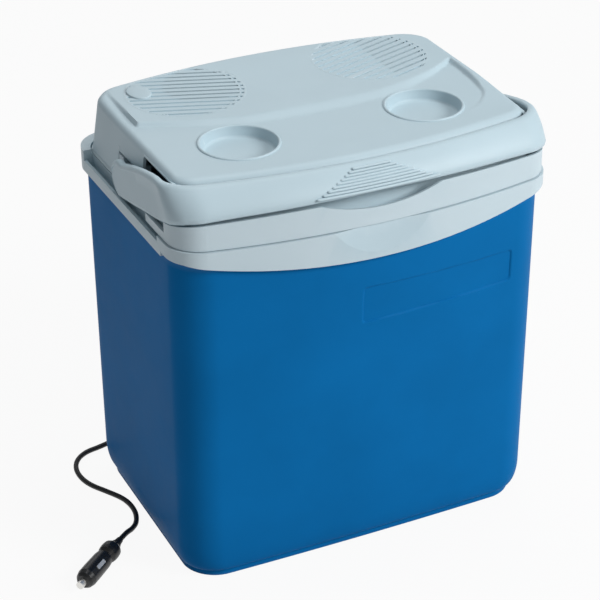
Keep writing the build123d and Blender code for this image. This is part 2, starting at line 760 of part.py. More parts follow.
def arc_radii(corners):
    """The largest tangent arc that each corner of a route has room for."""
    radii = []
    for before, here, after in zip(corners, corners[1:], corners[2:]):
        turn = (here - before).get_angle(after - here)
        run = min((here - before).length, (after - here).length)
        radii.append(0.45 * run / tan(radians(turn / 2)))
    return radii


def route_tube(points, radius, report=""):
    """A round tube along straight runs joined by tangent arcs, each as large as its runs allow."""
    corners = [Vector(*p) for p in points]
    radii = arc_radii(corners)
    with BuildPart() as tube:
        with BuildLine() as path:
            FilletPolyline(*corners, radius=radii)
        with BuildSketch(Plane(origin=path.line @ 0, z_dir=path.line % 0)):
            Circle(radius)
        sweep(transition=Transition.RIGHT)
    if report:
        length = path.wire().length
        ratio = tube.part.volume / (length * pi * radius**2)
        print(report, "length", round(length, 1), "volume ratio", round(ratio, 4))
        print(report, "radii", [round(value, 1) for value in radii])
    return tube.part


wire_radius = 1.4
terminal = (board_x - 39, board_y + 12, board_top + 6)
with BuildPart() as lid_wiring:
    add(route_tube([
        (exit_x, gland_y - 9, exit_z), (exit_x + 6, 126, exit_z + 2), (exit_x + 30, 125, exit_z + 4),
        (-8, 124 - 14, exit_z + 4), (2, 84, terminal[2] + 1), (terminal[0] - 0.7, terminal[1], terminal[2]),
    ], wire_radius))
    add(route_tube([
        (outlet_x + hot_fan_size / 2 + 0.2, 52, fan_low + 4), (-24, 53, fan_low + 3),
        (-4, 62, terminal[2] + 2), (terminal[0] - 0.7, terminal[1] - 7, terminal[2]),
    ], wire_radius))
save(lid_wiring.part, "lid_wiring")

# ================================================================ carrying bail
bend_high = (bail_pivot_y - 105.0, bail_high_z)
mid_high = (bail_pivot_y - 58.0, bail_high_z - 8.0)
high_tangent = (low_tangent[0] - 2 * (low_tangent[0] - bail_pivot_y), 2 * bail_pivot_z - low_tangent[1])
bail_foot = bail_pivot_z - 2 * bail_end_radius
with BuildPart() as bail:
    add(taper(bail_outline(bail_foot), bail_foot, bail_outline(bail_high_z + 2), bail_high_z + 2))
    inner_low = bail_outline(bail_foot, bail_thick)
    inner_high = bail_outline(bail_high_z + 2, bail_thick)
    add(taper(inner_low, bail_foot, inner_high, bail_high_z + 2), mode=Mode.SUBTRACT)
    with BuildSketch(Plane.YZ.offset(-far)):
        with BuildLine():
            Polyline(
                (front_y, front_low), (bend_y, bend_low), low_tangent, (bail_pivot_y, bail_pivot_z),
                high_tangent, mid_high, bend_high, (front_y, bail_high_z), (front_y, front_low),
            )
        make_face()
        with Locations((bail_pivot_y, bail_pivot_z)):
            Circle(bail_end_radius)
    extrude(amount=2 * far, mode=Mode.INTERSECT)
    for side in (-1, 1):
        # blind bore for the pivot, and the hook on the hub
        inner_face = bail_half - bail_thick
        bore_start = (side * (inner_face - 12), bail_pivot_y, bail_pivot_z)
        add(rod(pivot_radius + run_gap, bore_start, (side, 0, 0), 18), mode=Mode.SUBTRACT)
        hook_start = (side * (ear_x - hook_overlap), bail_pivot_y, bail_pivot_z)
        hook_plane = Plane(origin=hook_start, x_dir=(0, 1, 0), z_dir=(side, 0, 0))
        with BuildSketch(hook_plane):
            Circle(hook_reach)
            Circle(hub_radius + 0.5, mode=Mode.SUBTRACT)
            with Locations(Location((0, 0, 0), (0, 0, side * hook_turn))):
                with Locations((hook_reach, 0)):
                    Rectangle(2 * hook_reach, 13, mode=Mode.INTERSECT)
        extrude(amount=inner_face - ear_x + 2 * hook_overlap)
save(bail.part, "bail")

with BuildPart() as bail_pivots:
    for side in (-1, 1):
        start = (side * (pocket_back + 0.2), bail_pivot_y, bail_pivot_z)
        add(rod(pivot_radius, start, (side, 0, 0), bail_half - bail_thick + 5.5 - pocket_back))
save(bail_pivots.part, "bail_pivots")

# ================================================================ lead
sleeve_way = (0, cos(radians(sleeve_drop)), -sin(radians(sleeve_drop)))
sleeve_start = (exit_x, gland_y, exit_z)
lead_start = tuple(at + way * sleeve_length for at, way in zip(sleeve_start, sleeve_way))
with BuildPart() as cord_gland:
    add(rod(gland_flange, (exit_x, gland_y, exit_z), (0, 1, 0), 2.5))
    add(rod(gland_radius, (exit_x, gland_y - gland_wall, exit_z), (0, 1, 0), gland_wall))
    add(rod(gland_flange, (exit_x, gland_y - gland_wall - 3, exit_z), (0, 1, 0), 3))
    with BuildSketch(Plane(origin=sleeve_start, z_dir=sleeve_way)):
        Circle(gland_radius - 0.4)
    with BuildSketch(Plane(origin=lead_start, z_dir=sleeve_way)):
        Circle(lead_radius + 0.7)
    loft()
save(cord_gland.part, "cord_gland")

# the lead falls behind the tub, lies in a coil, and comes round the rear left corner to the plug
coil_x = 62.0
coil_y = 236.0
coil_radius = 31.0
coil_width = 4 * lead_radius
coil_height = 15.0
coil_stub = 26.0
plug_start = (-236, -38.7, 10.8)
fall_top = (-60, 202, 350)
fall_next = (-61, 197, 284)
fall_split = tuple((a + b) / 2 for a, b in zip(fall_top, fall_next))
first_bend = tuple(at + way * 20 for at, way in zip(lead_start, sleeve_way))
near_gland = [lead_start, first_bend, (-60.5, 193.5, 374), fall_top, fall_split]
fall = [
    fall_split, fall_next, (-65, 186, 228), (-66, 178, 170), (-61, 178, 114), (-51, 188, 64),
    (-34, 202, 28), (-10, 207.5, 8), (13, coil_y - coil_radius, floor_z),
    (coil_x - coil_stub, coil_y - coil_radius, floor_z),
]
along_floor = [
    (coil_x - coil_stub, coil_y + coil_radius, floor_z), (13, coil_y + coil_radius, floor_z),
    (-13, 257, floor_z), (-38, 237, floor_z), (-66, 212, floor_z), (-97, 188.5, floor_z),
    (-130, 171, floor_z),
    (-160, 154, floor_z), (-188, 145, floor_z), (-210, 141.5, floor_z), (-225.5, 127, floor_z),
    (-231, 105, floor_z), (-227, 81, floor_z), (-213, 58.5, floor_z), (-201, 37, floor_z),
    (-199, 13, floor_z), (-205.5, -8, 3.6), (-216.5, -21.5, 6.6), (-225.5, -29.6, 10.8), plug_start,
]
save(route_tube(near_gland, lead_radius, "cord_top"), "cord_top")
save(route_tube(fall, lead_radius, "cord_fall"), "cord_fall")
save(route_tube(along_floor, lead_radius, "cord_floor"), "cord_floor")
with BuildPart() as cord_coil:
    low = floor_z - lead_radius
    with BuildSketch(Plane.XY.offset(low)):
        with Locations((coil_x, coil_y)):
            Circle(coil_radius + coil_width / 2)
            Circle(coil_radius - coil_width / 2, mode=Mode.SUBTRACT)
    extrude(amount=coil_height)
    for side in (-1, 1):
        start = (coil_x - coil_stub, coil_y + side * coil_radius, floor_z)
        add(rod(lead_radius, start, (1, 0, 0), coil_stub))
save(cord_coil.part, "cord_coil")

# ================================================================ plug
plug_way = Vector(-10.5, -9.1, 0).normalized()
relief_length = 12.0
knob_length = 19.0
barrel_length = 46.0
plug_radius = 10.4
tip_radius = 4.0
tip_out = 7.0
tip_flange = 5.2
tip_nose = 3.0           # thickness of the barrel's front wall
chamber_radius = 5.4
chamber_length = 36.0
contact_length = 14.0
contact_width = 4.0
contact_place = 22.0     # from the barrel's rear end
contact_tilt = 45.0      # degrees that the contacts' line is turned about the plug


def along_plug(distance):
    """A point on the plug's axis."""
    return Vector(*plug_start) + plug_way * distance


def turned(points, distance):
    """A solid turned about the plug's axis from (distance, radius) points, closed along the axis."""
    plane = Plane(origin=along_plug(distance), x_dir=plug_way, z_dir=(0, 0, 1))
    first, last = points[0], points[-1]
    with BuildPart() as piece:
        with BuildSketch(plane):
            with BuildLine():
                Polyline((first[0], 0), *points, (last[0], 0), (first[0], 0))
            make_face()
        revolve(axis=Axis(along_plug(0), plug_way))
    return piece.part


def along(radius, start, end):
    """A round bar on the plug's axis between two distances."""
    return rod(radius, along_plug(start), plug_way, end - start)


barrel_start = relief_length + knob_length
barrel_end = barrel_start + barrel_length
save(turned([(0, lead_radius + 0.7), (8, 4.4), (8, 5.2), (relief_length, 5.2)], 0), "plug_relief")
knob = [(0, 5.5), (1.5, 8), (4.5, 9.9), (8, plug_radius), (12, plug_radius), (15.5, 9.9), (knob_length, 7.4)]
with BuildPart() as plug_knob:
    add(turned(knob, relief_length))
    add(along(2.0, relief_length, barrel_start), mode=Mode.SUBTRACT)
save(plug_knob.part, "plug_knob")
contact_seat = plug_radius - 0.8
contact_thick = 1.6


def contact_blocks(thick):
    """The two side contacts, or with more thickness the cuts that they sit in."""
    with BuildPart() as blocks:
        for side in (-1, 1):
            level = plug_way.cross(Vector(0, 0, 1)) * side
            out = level.rotate(Axis((0, 0, 0), plug_way), contact_tilt)
            middle = along_plug(barrel_start + contact_place) + out * contact_seat
            with BuildSketch(Plane(origin=middle, x_dir=plug_way, z_dir=out)):
                RectangleRounded(contact_length, contact_width, 1)
            extrude(amount=thick)
    return blocks.part


barrel = [
    (0, 7.4), (3, 9.4), (8, 10.0), (26, plug_radius), (38, plug_radius), (43, 9.2), (barrel_length, 7),
]
with BuildPart() as plug_body:
    add(turned(barrel, barrel_start))
    chamber_end = barrel_end - tip_nose
    add(along(chamber_radius, chamber_end - chamber_length, chamber_end), mode=Mode.SUBTRACT)
    add(along(tip_radius + run_gap, chamber_end - 1, barrel_end + 1), mode=Mode.SUBTRACT)
    add(contact_blocks(5), mode=Mode.SUBTRACT)
save(plug_body.part, "plug_body")
with BuildPart() as plug_tip:
    add(along(tip_flange, chamber_end - 2.1, chamber_end - 0.1))
    add(along(tip_radius, chamber_end - 2.1, barrel_end + tip_out))
save(plug_tip.part, "plug_tip")
fuse_length = 20.0
fuse_start = chamber_end - chamber_length
with BuildPart() as plug_fuse:
    add(along(3.0, fuse_start, fuse_start + fuse_length))
save(plug_fuse.part, "plug_fuse")
with BuildPart() as plug_spring:
    add(along(4.4, fuse_start + fuse_length, chamber_end - 2.1 - 0.1))
    add(along(3.6, fuse_start + fuse_length, chamber_end - 2.1 - 0.1), mode=Mode.SUBTRACT)
save(plug_spring.part, "plug_spring")
save(contact_blocks(contact_thick), "plug_contacts")
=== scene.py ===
"""A 12 volt cool box: its visible mouldings, finishes, lead, studio and camera.

Lengths inside the shape functions are millimetres, and meshes are written in metres. +Z is up, the
front faces -Y, and the origin is the middle of the resting face.
"""

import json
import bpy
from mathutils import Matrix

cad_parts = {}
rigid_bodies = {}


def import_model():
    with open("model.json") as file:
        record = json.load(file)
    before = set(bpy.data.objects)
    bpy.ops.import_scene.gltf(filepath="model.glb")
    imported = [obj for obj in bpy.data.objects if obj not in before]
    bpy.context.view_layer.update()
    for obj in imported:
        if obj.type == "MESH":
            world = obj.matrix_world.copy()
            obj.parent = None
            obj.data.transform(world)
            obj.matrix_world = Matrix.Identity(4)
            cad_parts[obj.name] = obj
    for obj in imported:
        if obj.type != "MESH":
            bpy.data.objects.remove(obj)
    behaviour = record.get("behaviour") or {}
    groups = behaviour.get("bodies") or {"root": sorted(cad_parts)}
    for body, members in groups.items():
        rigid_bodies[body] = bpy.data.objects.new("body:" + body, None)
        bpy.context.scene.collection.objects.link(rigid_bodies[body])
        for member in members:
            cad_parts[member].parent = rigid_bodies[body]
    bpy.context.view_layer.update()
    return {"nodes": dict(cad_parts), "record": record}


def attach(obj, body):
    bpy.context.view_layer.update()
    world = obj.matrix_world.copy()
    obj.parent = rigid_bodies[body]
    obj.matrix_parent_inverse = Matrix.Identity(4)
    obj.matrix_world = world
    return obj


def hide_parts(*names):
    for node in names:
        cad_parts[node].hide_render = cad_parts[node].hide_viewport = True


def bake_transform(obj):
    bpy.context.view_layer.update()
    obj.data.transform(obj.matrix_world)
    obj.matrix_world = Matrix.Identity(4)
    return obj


bl_info = {
    "name": "Cool Box",
    "version": (1, 0, 0),
    "blender": (4, 5, 0),
    "location": "View3D > Sidebar > Cool Box",
    "description": "Builds a 12 volt cool box with its lid, bail, grilles, lead and a plain studio",
    "category": "Add Mesh",
}

from math import cos, pi, radians, sin

import bmesh
import bpy
import numpy as np
from bpy.props import FloatProperty, FloatVectorProperty, IntProperty, PointerProperty
from mathutils import Matrix, Vector

for leftover in list(bpy.data.objects):
    bpy.data.objects.remove(leftover)
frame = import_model()

MM = 0.001


# ---------------------------------------------------------------- sizes and colours
def length(name, description, millimetres):
    """A length property with its default given in millimetres."""
    return FloatProperty(name=name, description=description, default=millimetres * MM, min=0.0, unit="LENGTH")


def shade(name, description, value):
    """A colour property, in linear light."""
    return FloatVectorProperty(
        name=name, description=description, default=value, size=3, min=0.0, max=1.0, subtype="COLOR"
    )


class CoolBoxSizes(bpy.types.PropertyGroup):
    """Sizes of the mouldings, in metres."""

    belly_half: length("Belly half width", "Half width of the tub where its rounded bottom ends", 195.5)
    tub_half: length("Tub half width", "Half width of the tub under the collar", 196.5)
    foot_half: length("Foot half width", "Half width of the foot ring", 188.0)
    lid_rim: length("Lid rim", "Height of the lid's low field", 438.0)
    platform_rise: length("Platform rise", "How far the rear field stands above the front one", 4.0)
    rim_round: length("Rim rounding", "Radius of the lid's top edge", 6.5)
    cup_radius: length("Cup radius", "Inside radius of the cup recesses", 37.0)
    cup_depth: length("Cup depth", "Depth of the cup recesses", 10.0)
    grille_radius: length("Grille radius", "Radius of the ribbed rounds", 61.0)
    slot_pitch: length("Slot pitch", "Distance between grille slots", 9.2)
    slot_width: length("Slot width", "Width of a grille slot", 3.2)
    bail_wall: length("Bail thickness", "Thickness of the bail", 8.0)
    lead_width: length("Lead diameter", "Diameter of the lead", 5.5)
    rib_count: IntProperty(name="Grip ribs", description="Ribs on the front of the bail", default=9, min=1)
    slot_turn: FloatProperty(
        name="Slot angle", description="How far the grille slots turn from level",
        default=radians(20), unit="ROTATION",
    )


class CoolBoxColours(bpy.types.PropertyGroup):
    """Colours of the finishes, in linear light."""

    body: shade("Tub", "Glossy plastic of the tub", (0.004, 0.15, 0.41))
    grey: shade("Lid", "Pale blue-grey plastic of lid, collar and bail", (0.50, 0.63, 0.69))
    white: shade("Liner", "White plastic of the cold space", (0.82, 0.84, 0.84))
    black: shade("Black parts", "Black plastic of fans, plug and lead", (0.006, 0.006, 0.0065))


# ---------------------------------------------------------------- shape helpers
def ease(value):
    """Zero below 0, one above 1, and 3t^2 - 2t^3 between."""
    t = np.clip(value, 0.0, 1.0)
    return t * t * (3.0 - 2.0 * t)


def plan_loop(half, front, rear, bow, radius, front_u, side_u, rear_u, corner_count=14, rear_radius=None):
    """Closed plan outlines, one a row, counter-clockwise from the front's left end.

    Each is a rounded rectangle whose local y is scaled by 1 - bow/depth * (x/half)^2, so that its
    front and rear bow out. front_u, side_u and rear_u are the samples' places from -1 to 1 along
    the straight runs.
    """
    rear_radius = radius if rear_radius is None else rear_radius
    half, front, rear, bow, radius, back = (
        np.atleast_1d(np.asarray(v, float))[:, None]
        for v in np.broadcast_arrays(half, front, rear, bow, radius, rear_radius)
    )
    middle = (rear - front) / 2
    deep = (front + rear) / 2
    turn = np.linspace(0, pi / 2, corner_count + 2)[None, 1:-1]
    cosine, sine = np.cos(turn), np.sin(turn)
    front_u, side_u, rear_u = np.atleast_2d(front_u), np.atleast_2d(side_u), np.atleast_2d(rear_u)
    side_y = (radius - back) / 2 + side_u * (deep - (radius + back) / 2)
    x = np.concatenate(
        [front_u * (half - radius), half - radius * (1 - sine), half + 0 * side_u, half - back * (1 - cosine),
         -rear_u * (half - back), -half + back * (1 - sine), -half + 0 * side_u,
         -half + radius * (1 - cosine)],
        axis=1)
    y = np.concatenate(
        [-deep + 0 * front_u, -deep + radius * (1 - cosine), side_y, deep - back * (1 - sine),
         deep + 0 * rear_u, deep - back * (1 - cosine), side_y[:, ::-1],
         -deep + radius * (1 - sine)], axis=1)
    y = middle + y * (1 - bow / deep * (x / half) ** 2)
    return np.stack([x, y], axis=-1)


def outward(loop):
    """Unit normals of closed loops: the chord through each point's neighbours, turned a quarter turn."""
    chord = np.roll(loop, -1, axis=1) - np.roll(loop, 1, axis=1)
    normal = np.stack([chord[..., 1], -chord[..., 0]], axis=-1)
    return normal / np.linalg.norm(normal, axis=-1, keepdims=True)


def samples(*runs):
    """Sorted sample places joined from (start, end, count) runs, each value once."""
    return np.unique(np.round(np.concatenate([np.linspace(*run) for run in runs]), 4))


def quads(rows, cols, wrap_rows=False, wrap_cols=False):
    """Corner numbers of the cells of a grid, which may close on itself either way."""
    r, c = np.meshgrid(
        np.arange(rows if wrap_rows else rows - 1), np.arange(cols if wrap_cols else cols - 1), indexing="ij"
    )
    r2, c2 = (r + 1) % rows, (c + 1) % cols
    return np.stack([r * cols + c, r * cols + c2, r2 * cols + c2, r2 * cols + c], axis=-1)


def patch(points, wrap_rows=False, wrap_cols=False, keep=None, finish=0):
    """A grid of points (rows, columns, 3) with its cells; keep is a mask of the cells that stay."""
    points = np.asarray(points, float)
    cells = quads(points.shape[0], points.shape[1], wrap_rows, wrap_cols)
    cells = cells.reshape(-1, 4) if keep is None else cells[keep]
    return points.reshape(-1, 3), cells, finish


def revolve(profile, centre, axis="Z", count=96, finish=0):
    """A profile of (radius, height) points turned about an upright axis, or one along +Y."""
    profile = np.asarray(profile, float)
    turn = np.linspace(0, 2 * pi, count, endpoint=False)
    r, h = profile[:, 0:1], profile[:, 1:2] + 0 * turn[None, :]
    across = np.stack([r * np.cos(turn), r * np.sin(turn)], axis=0)
    if axis == "Z":
        points = np.stack([across[0], across[1], h], axis=-1)
    else:
        points = np.stack([across[0], h, -across[1]], axis=-1)
    return patch(points + np.asarray(centre, float), wrap_cols=True, finish=finish)


def slab(low, high, finish=0):
    """A closed box with its long edges eased, as five rings along Z."""
    low, high = np.asarray(low, float), np.asarray(high, float)
    ease_by = min(0.4, 0.2 * float((high - low).min()))
    rings = []
    for z, inset in ((low[2], ease_by), (low[2] + ease_by, 0), (high[2] - ease_by, 0), (high[2], ease_by)):
        x0, x1, y0, y1 = low[0] + inset, high[0] - inset, low[1] + inset, high[1] - inset
        rings.append([(x0, y0, z), (x1, y0, z), (x1, y1, z), (x0, y1, z)])
    rings = np.asarray(rings)
    middle = rings.mean(axis=1, keepdims=True) + 0 * rings
    return patch(np.concatenate([middle[:1], rings, middle[-1:]]), wrap_cols=True, finish=finish)


def make_piece(name, patches, finishes, body, nodes=(), sharp=32.0, open_sheet=False):
    counts = np.cumsum([0] + [len(p[0]) for p in patches])
    points = np.concatenate([p[0] for p in patches]) * MM
    cells = np.concatenate([p[1] + start for p, start in zip(patches, counts)])
    kind = np.concatenate([np.full(len(p[1]), p[2]) for p in patches])
    mesh = bpy.data.meshes.new(name)
    mesh.from_pydata(points.tolist(), [], cells.tolist())
    mesh.polygons.foreach_set("material_index", kind.astype(np.int32))
    work = bmesh.new()
    work.from_mesh(mesh)
    bmesh.ops.remove_doubles(work, verts=work.verts, dist=2e-6)
    bmesh.ops.dissolve_degenerate(work, edges=work.edges, dist=1e-7)
    if not open_sheet:
        bmesh.ops.recalc_face_normals(work, faces=work.faces)
    work.to_mesh(mesh)
    work.free()
    for finish in finishes:
        mesh.materials.append(finish)
    mesh.shade_smooth()
    mesh.set_sharp_from_angle(angle=radians(sharp))
    piece = bpy.data.objects.new(name, mesh)
    bpy.context.scene.collection.objects.link(piece)
    if body:
        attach(piece, body)
    if nodes:
        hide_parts(*nodes)
    return piece


# ---------------------------------------------------------------- finishes
def finish(name, colour, roughness=0.45, metallic=0.0, grain=900.0, grain_depth=0.00004, drift=0.05,
           waves=0.0, wear=0.0, stretch=(1.0, 1.0, 1.0), coat=0.0, spread=0.06, gloss=0.5):
    """A procedural finish: colour drifts a little over the piece, roughness with it, and a fine grain
    and a slow wave go into the bump. wear lightens outside edges, and gloss is the specular level."""
    done = bpy.data.materials.get(name)
    if done:
        return done
    material = bpy.data.materials.new(name)
    material.use_nodes = True
    tree = material.node_tree
    nodes, link = tree.nodes, tree.links.new
    shader = nodes["Principled BSDF"]
    place = nodes.new("ShaderNodeTexCoord")
    turn = nodes.new("ShaderNodeMapping")
    turn.inputs["Scale"].default_value = stretch
    link(place.outputs["Object"], turn.inputs["Vector"])

    def noise(scale, detail):
        texture = nodes.new("ShaderNodeTexNoise")
        texture.inputs["Scale"].default_value = scale
        texture.inputs["Detail"].default_value = detail
        link(turn.outputs["Vector"], texture.inputs["Vector"])
        return texture.outputs["Fac"]

    broad = noise(9.0, 3.0)
    ramp = nodes.new("ShaderNodeValToRGB")
    ramp.color_ramp.elements[0].position = 0.3
    ramp.color_ramp.elements[1].position = 0.7
    for element, scale in zip(ramp.color_ramp.elements, (1.0 - drift, 1.0 + drift)):
        element.color = (*[min(c * scale, 1.0) for c in colour], 1.0)
    link(broad, ramp.inputs["Fac"])
    tint = ramp.outputs["Color"]
    if wear > 0:
        edge = nodes.new("ShaderNodeNewGeometry")
        pick = nodes.new("ShaderNodeMapRange")
        pick.inputs["From Min"].default_value = 0.53
        pick.inputs["From Max"].default_value = 0.62
        pick.inputs["To Max"].default_value = wear
        mix = nodes.new("ShaderNodeMix")
        mix.data_type = "RGBA"
        link(edge.outputs["Pointiness"], pick.inputs["Value"])
        link(pick.outputs["Result"], mix.inputs["Factor"])
        link(tint, mix.inputs["A"])
        mix.inputs["B"].default_value = (*[c + (1.0 - c) * 0.5 for c in colour], 1.0)
        tint = mix.outputs["Result"]
    link(tint, shader.inputs["Base Color"])
    mottle = nodes.new("ShaderNodeMapRange")
    mottle.inputs["To Min"].default_value = max(roughness - spread, 0.05)
    mottle.inputs["To Max"].default_value = roughness + spread
    link(noise(38.0, 4.0), mottle.inputs["Value"])
    link(mottle.outputs["Result"], shader.inputs["Roughness"])
    shader.inputs["Metallic"].default_value = metallic
    shader.inputs["Specular IOR Level"].default_value = gloss
    if coat:
        shader.inputs["Coat Weight"].default_value = coat
        shader.inputs["Coat Roughness"].default_value = 0.25
    fine = nodes.new("ShaderNodeBump")
    fine.inputs["Strength"].default_value = 0.6
    fine.inputs["Distance"].default_value = grain_depth
    link(noise(grain, 2.0), fine.inputs["Height"])
    if waves > 0:
        slow = nodes.new("ShaderNodeBump")
        slow.inputs["Strength"].default_value = 0.5
        slow.inputs["Distance"].default_value = waves
        link(noise(6.0, 1.0), slow.inputs["Height"])
        link(slow.outputs["Normal"], fine.inputs["Normal"])
    link(fine.outputs["Normal"], shader.inputs["Normal"])
    return material


def finishes():
    """One finish for each of the record's material slots."""
    tones = bpy.context.scene.cool_box_colours
    return {
        "blue_shell": finish(
            "tub_plastic", tones.body, 0.42, drift=0.06, waves=0.0012, wear=0.12, gloss=0.015),
        "grey_plastic": finish(
            "lid_plastic", tones.grey, 0.48, drift=0.025, waves=0.0004, wear=0.3, gloss=0.4),
        "white_plastic": finish("liner_plastic", tones.white, 0.4, drift=0.02),
        "foam": finish("bead_foam", (0.86, 0.84, 0.78), 0.9, grain=420.0, grain_depth=0.0006, drift=0.06),
        "black_plastic": finish("fan_plastic", tones.black, 0.34, drift=0.2, wear=0.06),
        "black_rubber": finish("lead_rubber", tones.black, 0.5, drift=0.2, grain=1500.0, grain_depth=0.00006),
        "seal_rubber": finish("door_seal", (0.05, 0.053, 0.056), 0.75, drift=0.12, grain_depth=0.0001),
        "aluminium": finish("drawn_aluminium", (0.6, 0.61, 0.62), 0.35, 1.0, stretch=(1.0, 14.0, 1.0)),
        "steel": finish("screw_steel", (0.5, 0.5, 0.51), 0.32, 1.0, stretch=(12.0, 1.0, 1.0), drift=0.06),
        "nickel": finish("contact_nickel", (0.8, 0.79, 0.76), 0.42, 1.0, grain_depth=0.00001, drift=0.04),
        "ceramic": finish("module_ceramic", (0.85, 0.85, 0.8), 0.6, drift=0.03, grain_depth=0.00006),
        "board_green": finish("board_lacquer", (0.01, 0.09, 0.03), 0.35, drift=0.15, coat=0.3),
        "component_dark": finish("components", (0.02, 0.02, 0.025), 0.5, drift=0.3),
    }


# ---------------------------------------------------------------- tub
PLATE_X = (-16.5, 154.5)          # recessed name plate on the front, left bare
PLATE_LOW = (269.8, 271.8)        # its lower edge at either end
PLATE_HIGH = (310.7, 306.8)
PLATE_SINK = 1.5


def plate_sink(x, z):
    """How deep the name plate's field lies: the distance inside a rounded rectangle, eased over 1.2 mm."""
    along = (x - PLATE_X[0]) / (PLATE_X[1] - PLATE_X[0])
    low = PLATE_LOW[0] + (PLATE_LOW[1] - PLATE_LOW[0]) * along
    high = PLATE_HIGH[0] + (PLATE_HIGH[1] - PLATE_HIGH[0]) * along
    corner = 4.0
    past_x = np.abs(x - sum(PLATE_X) / 2) - (PLATE_X[1] - PLATE_X[0]) / 2 + corner
    past_z = np.abs(z - (low + high) / 2) - (high - low) / 2 + corner
    outside = np.hypot(np.maximum(past_x, 0), np.maximum(past_z, 0))
    outside = outside + np.minimum(np.maximum(past_x, past_z), 0)
    return PLATE_SINK * ease((corner - outside) / 1.2)


def tub_plan(z, inset, sizes, front_u, side_u, rear_u):
    """The tub's outline at heights z: straight taper from belly to collar, a quarter ellipse below."""
    share = np.clip((z - 36.0) / (379.0 - 36.0), 0, 1)
    belly, top, foot = (v / MM for v in (sizes.belly_half, sizes.tub_half, sizes.foot_half))
    under = 1 - np.sqrt(np.clip(1 - ((36.0 - np.minimum(z, 36.0)) / 27.0) ** 2, 0, 1))
    pull = under * (belly - foot - 1.0)
    half = belly + (top - belly) * share - pull
    front = 137.0 + (160.5 - 137.0) * share - pull * 0.72
    rear = 137.0 + (155.5 - 137.0) * share - pull * 0.72
    bow = 3.0 + (25.0 - 3.0) * share
    radius = 36.0 - inset + 0 * z
    return plan_loop(half - inset, front - inset, rear - inset, bow, radius, front_u, side_u, rear_u)


class COOLBOX_OT_tub(bpy.types.Operator):
    """Makes the blue tub with its rounded foot and the bare plate on its front"""

    bl_idname = "coolbox.tub"
    bl_label = "Tub"

    def execute(self, context):
        sizes = context.scene.cool_box_sizes
        inner = 159.8
        front_u = samples(
            (-1, 1, 41), (-24 / inner, -10 / inner, 15), (147 / inner, 159.5 / inner, 14))
        side_u, rear_u = samples((-1, 1, 27)), samples((-1, 1, 35))
        z = samples((9.0, 12.0, 5), (12.0, 36.0, 17), (36.0, 264.0, 30), (264.0, 276.0, 13),
                    (276.0, 302.0, 6), (302.0, 316.0, 15), (316.0, 362.8, 7))
        outer = tub_plan(z, 0.0, sizes, front_u, side_u, rear_u)
        normal = outward(outer)
        front_count = len(front_u)
        sink = plate_sink(outer[:, :front_count, 0], np.broadcast_to(z[:, None], (len(z), front_count)))
        outer[:, :front_count] -= normal[:, :front_count] * sink[..., None]
        wall = np.concatenate([outer, np.broadcast_to(z[:, None, None], outer.shape[:2] + (1,))], axis=2)
        foot_half = sizes.foot_half / MM
        foot_z = np.array([0.0, 0.0, 0.6, 8.2, 9.0])
        foot_in = np.array([8.0, 0.7, 0.0, 0.0, -0.2])
        foot = plan_loop(foot_half - foot_in, 129.5 - foot_in, 129.5 - foot_in, 3.0, 36.0 - foot_in,
                         front_u, side_u, rear_u)
        foot = np.concatenate([foot, np.broadcast_to(foot_z[:, None, None], foot.shape[:2] + (1,))], axis=2)
        z_in = np.array([362.8, 200.0, 36.0, 20.0, 6.0])
        inside = tub_plan(z_in, 3.0, sizes, front_u, side_u, rear_u)
        inside[-1] = plan_loop(184.5, 128.5, 128.5, 3.0, 32.0, front_u, side_u, rear_u)[0]
        level = np.broadcast_to(z_in[:, None, None], inside.shape[:2] + (1,))
        inside = np.concatenate([inside, level], axis=2)
        low_pole = np.broadcast_to(np.array([0.0, 0.0, 0.0]), (1,) + wall.shape[1:])
        high_pole = np.broadcast_to(np.array([0.0, 0.0, 6.0]), (1,) + wall.shape[1:])
        skin = patch(np.concatenate([low_pole, foot, wall, inside, high_pole]), wrap_cols=True)
        make_piece("tub", [skin], [finishes()["blue_shell"]], "tub", ["body_shell"], sharp=40.0)
        return {"FINISHED"}


# ---------------------------------------------------------------- lid cover
FOOT_NODES = np.array([(-186, 24), (-170, 18), (-118, -7), (-73, -24), (-22, -29), (32, -29),
                       (67, -24.5), (105, -16), (138, 2), (167, 23), (174, 29.5), (186, 31)], float)
TOP_NODES = np.array([(-186, 27), (-163, 20.5), (-115, 3), (-75, -8), (-22, -9), (32, -9), (75, -7),
                      (115, 3), (145, 13), (167, 26), (174, 32.0), (186, 33.5)], float)
RIGHT_WALL = np.array([(-100, 108), (-95, 117), (-89, 127), (-80, 146), (-66, 160), (-56, 167), (-31, 172.5),
                       (-8, 175), (16, 176), (34, 176)], float)


def soft_curve(nodes, at):
    """A curve through nodes: straight interpolation averaged over a 10 mm window."""
    window = np.linspace(-5, 5, 11)
    return np.interp(at[..., None] + window, nodes[:, 0], nodes[:, 1]).mean(axis=-1)


def lid_level(x, y):
    """Share of the platform's rise at a point of the lid's top, from 0 on the front field to 1.

    An S-slope between two curves makes the platform's front; on the left a rim strip rises slowly
    from 0 to 1 beside the platform, and on the right a rim strip stays up and fades to the front.
    """
    foot, top = soft_curve(FOOT_NODES, x), soft_curve(TOP_NODES, x)
    level = ease((y - foot) / np.maximum(top - foot, 2.4))
    strip = ease((y - 31.0) / 98.0)
    wall_x = -172.0 + np.maximum(y - 96.0, 0) ** 2 * 0.018
    beside = ease((wall_x + 1.5 - x) / 3.0)
    level = level * (1 - beside) + np.minimum(strip, level) * beside
    right = soft_curve(RIGHT_WALL, y)
    fade = ease((y + 100.0) / 95.0)
    return np.maximum(level, fade * ease((x - right + 2.0) / 4.0))


def lid_height(x, y, sizes):
    """Height of the lid's top surface."""
    return sizes.lid_rim / MM + sizes.platform_rise / MM * lid_level(x, y)


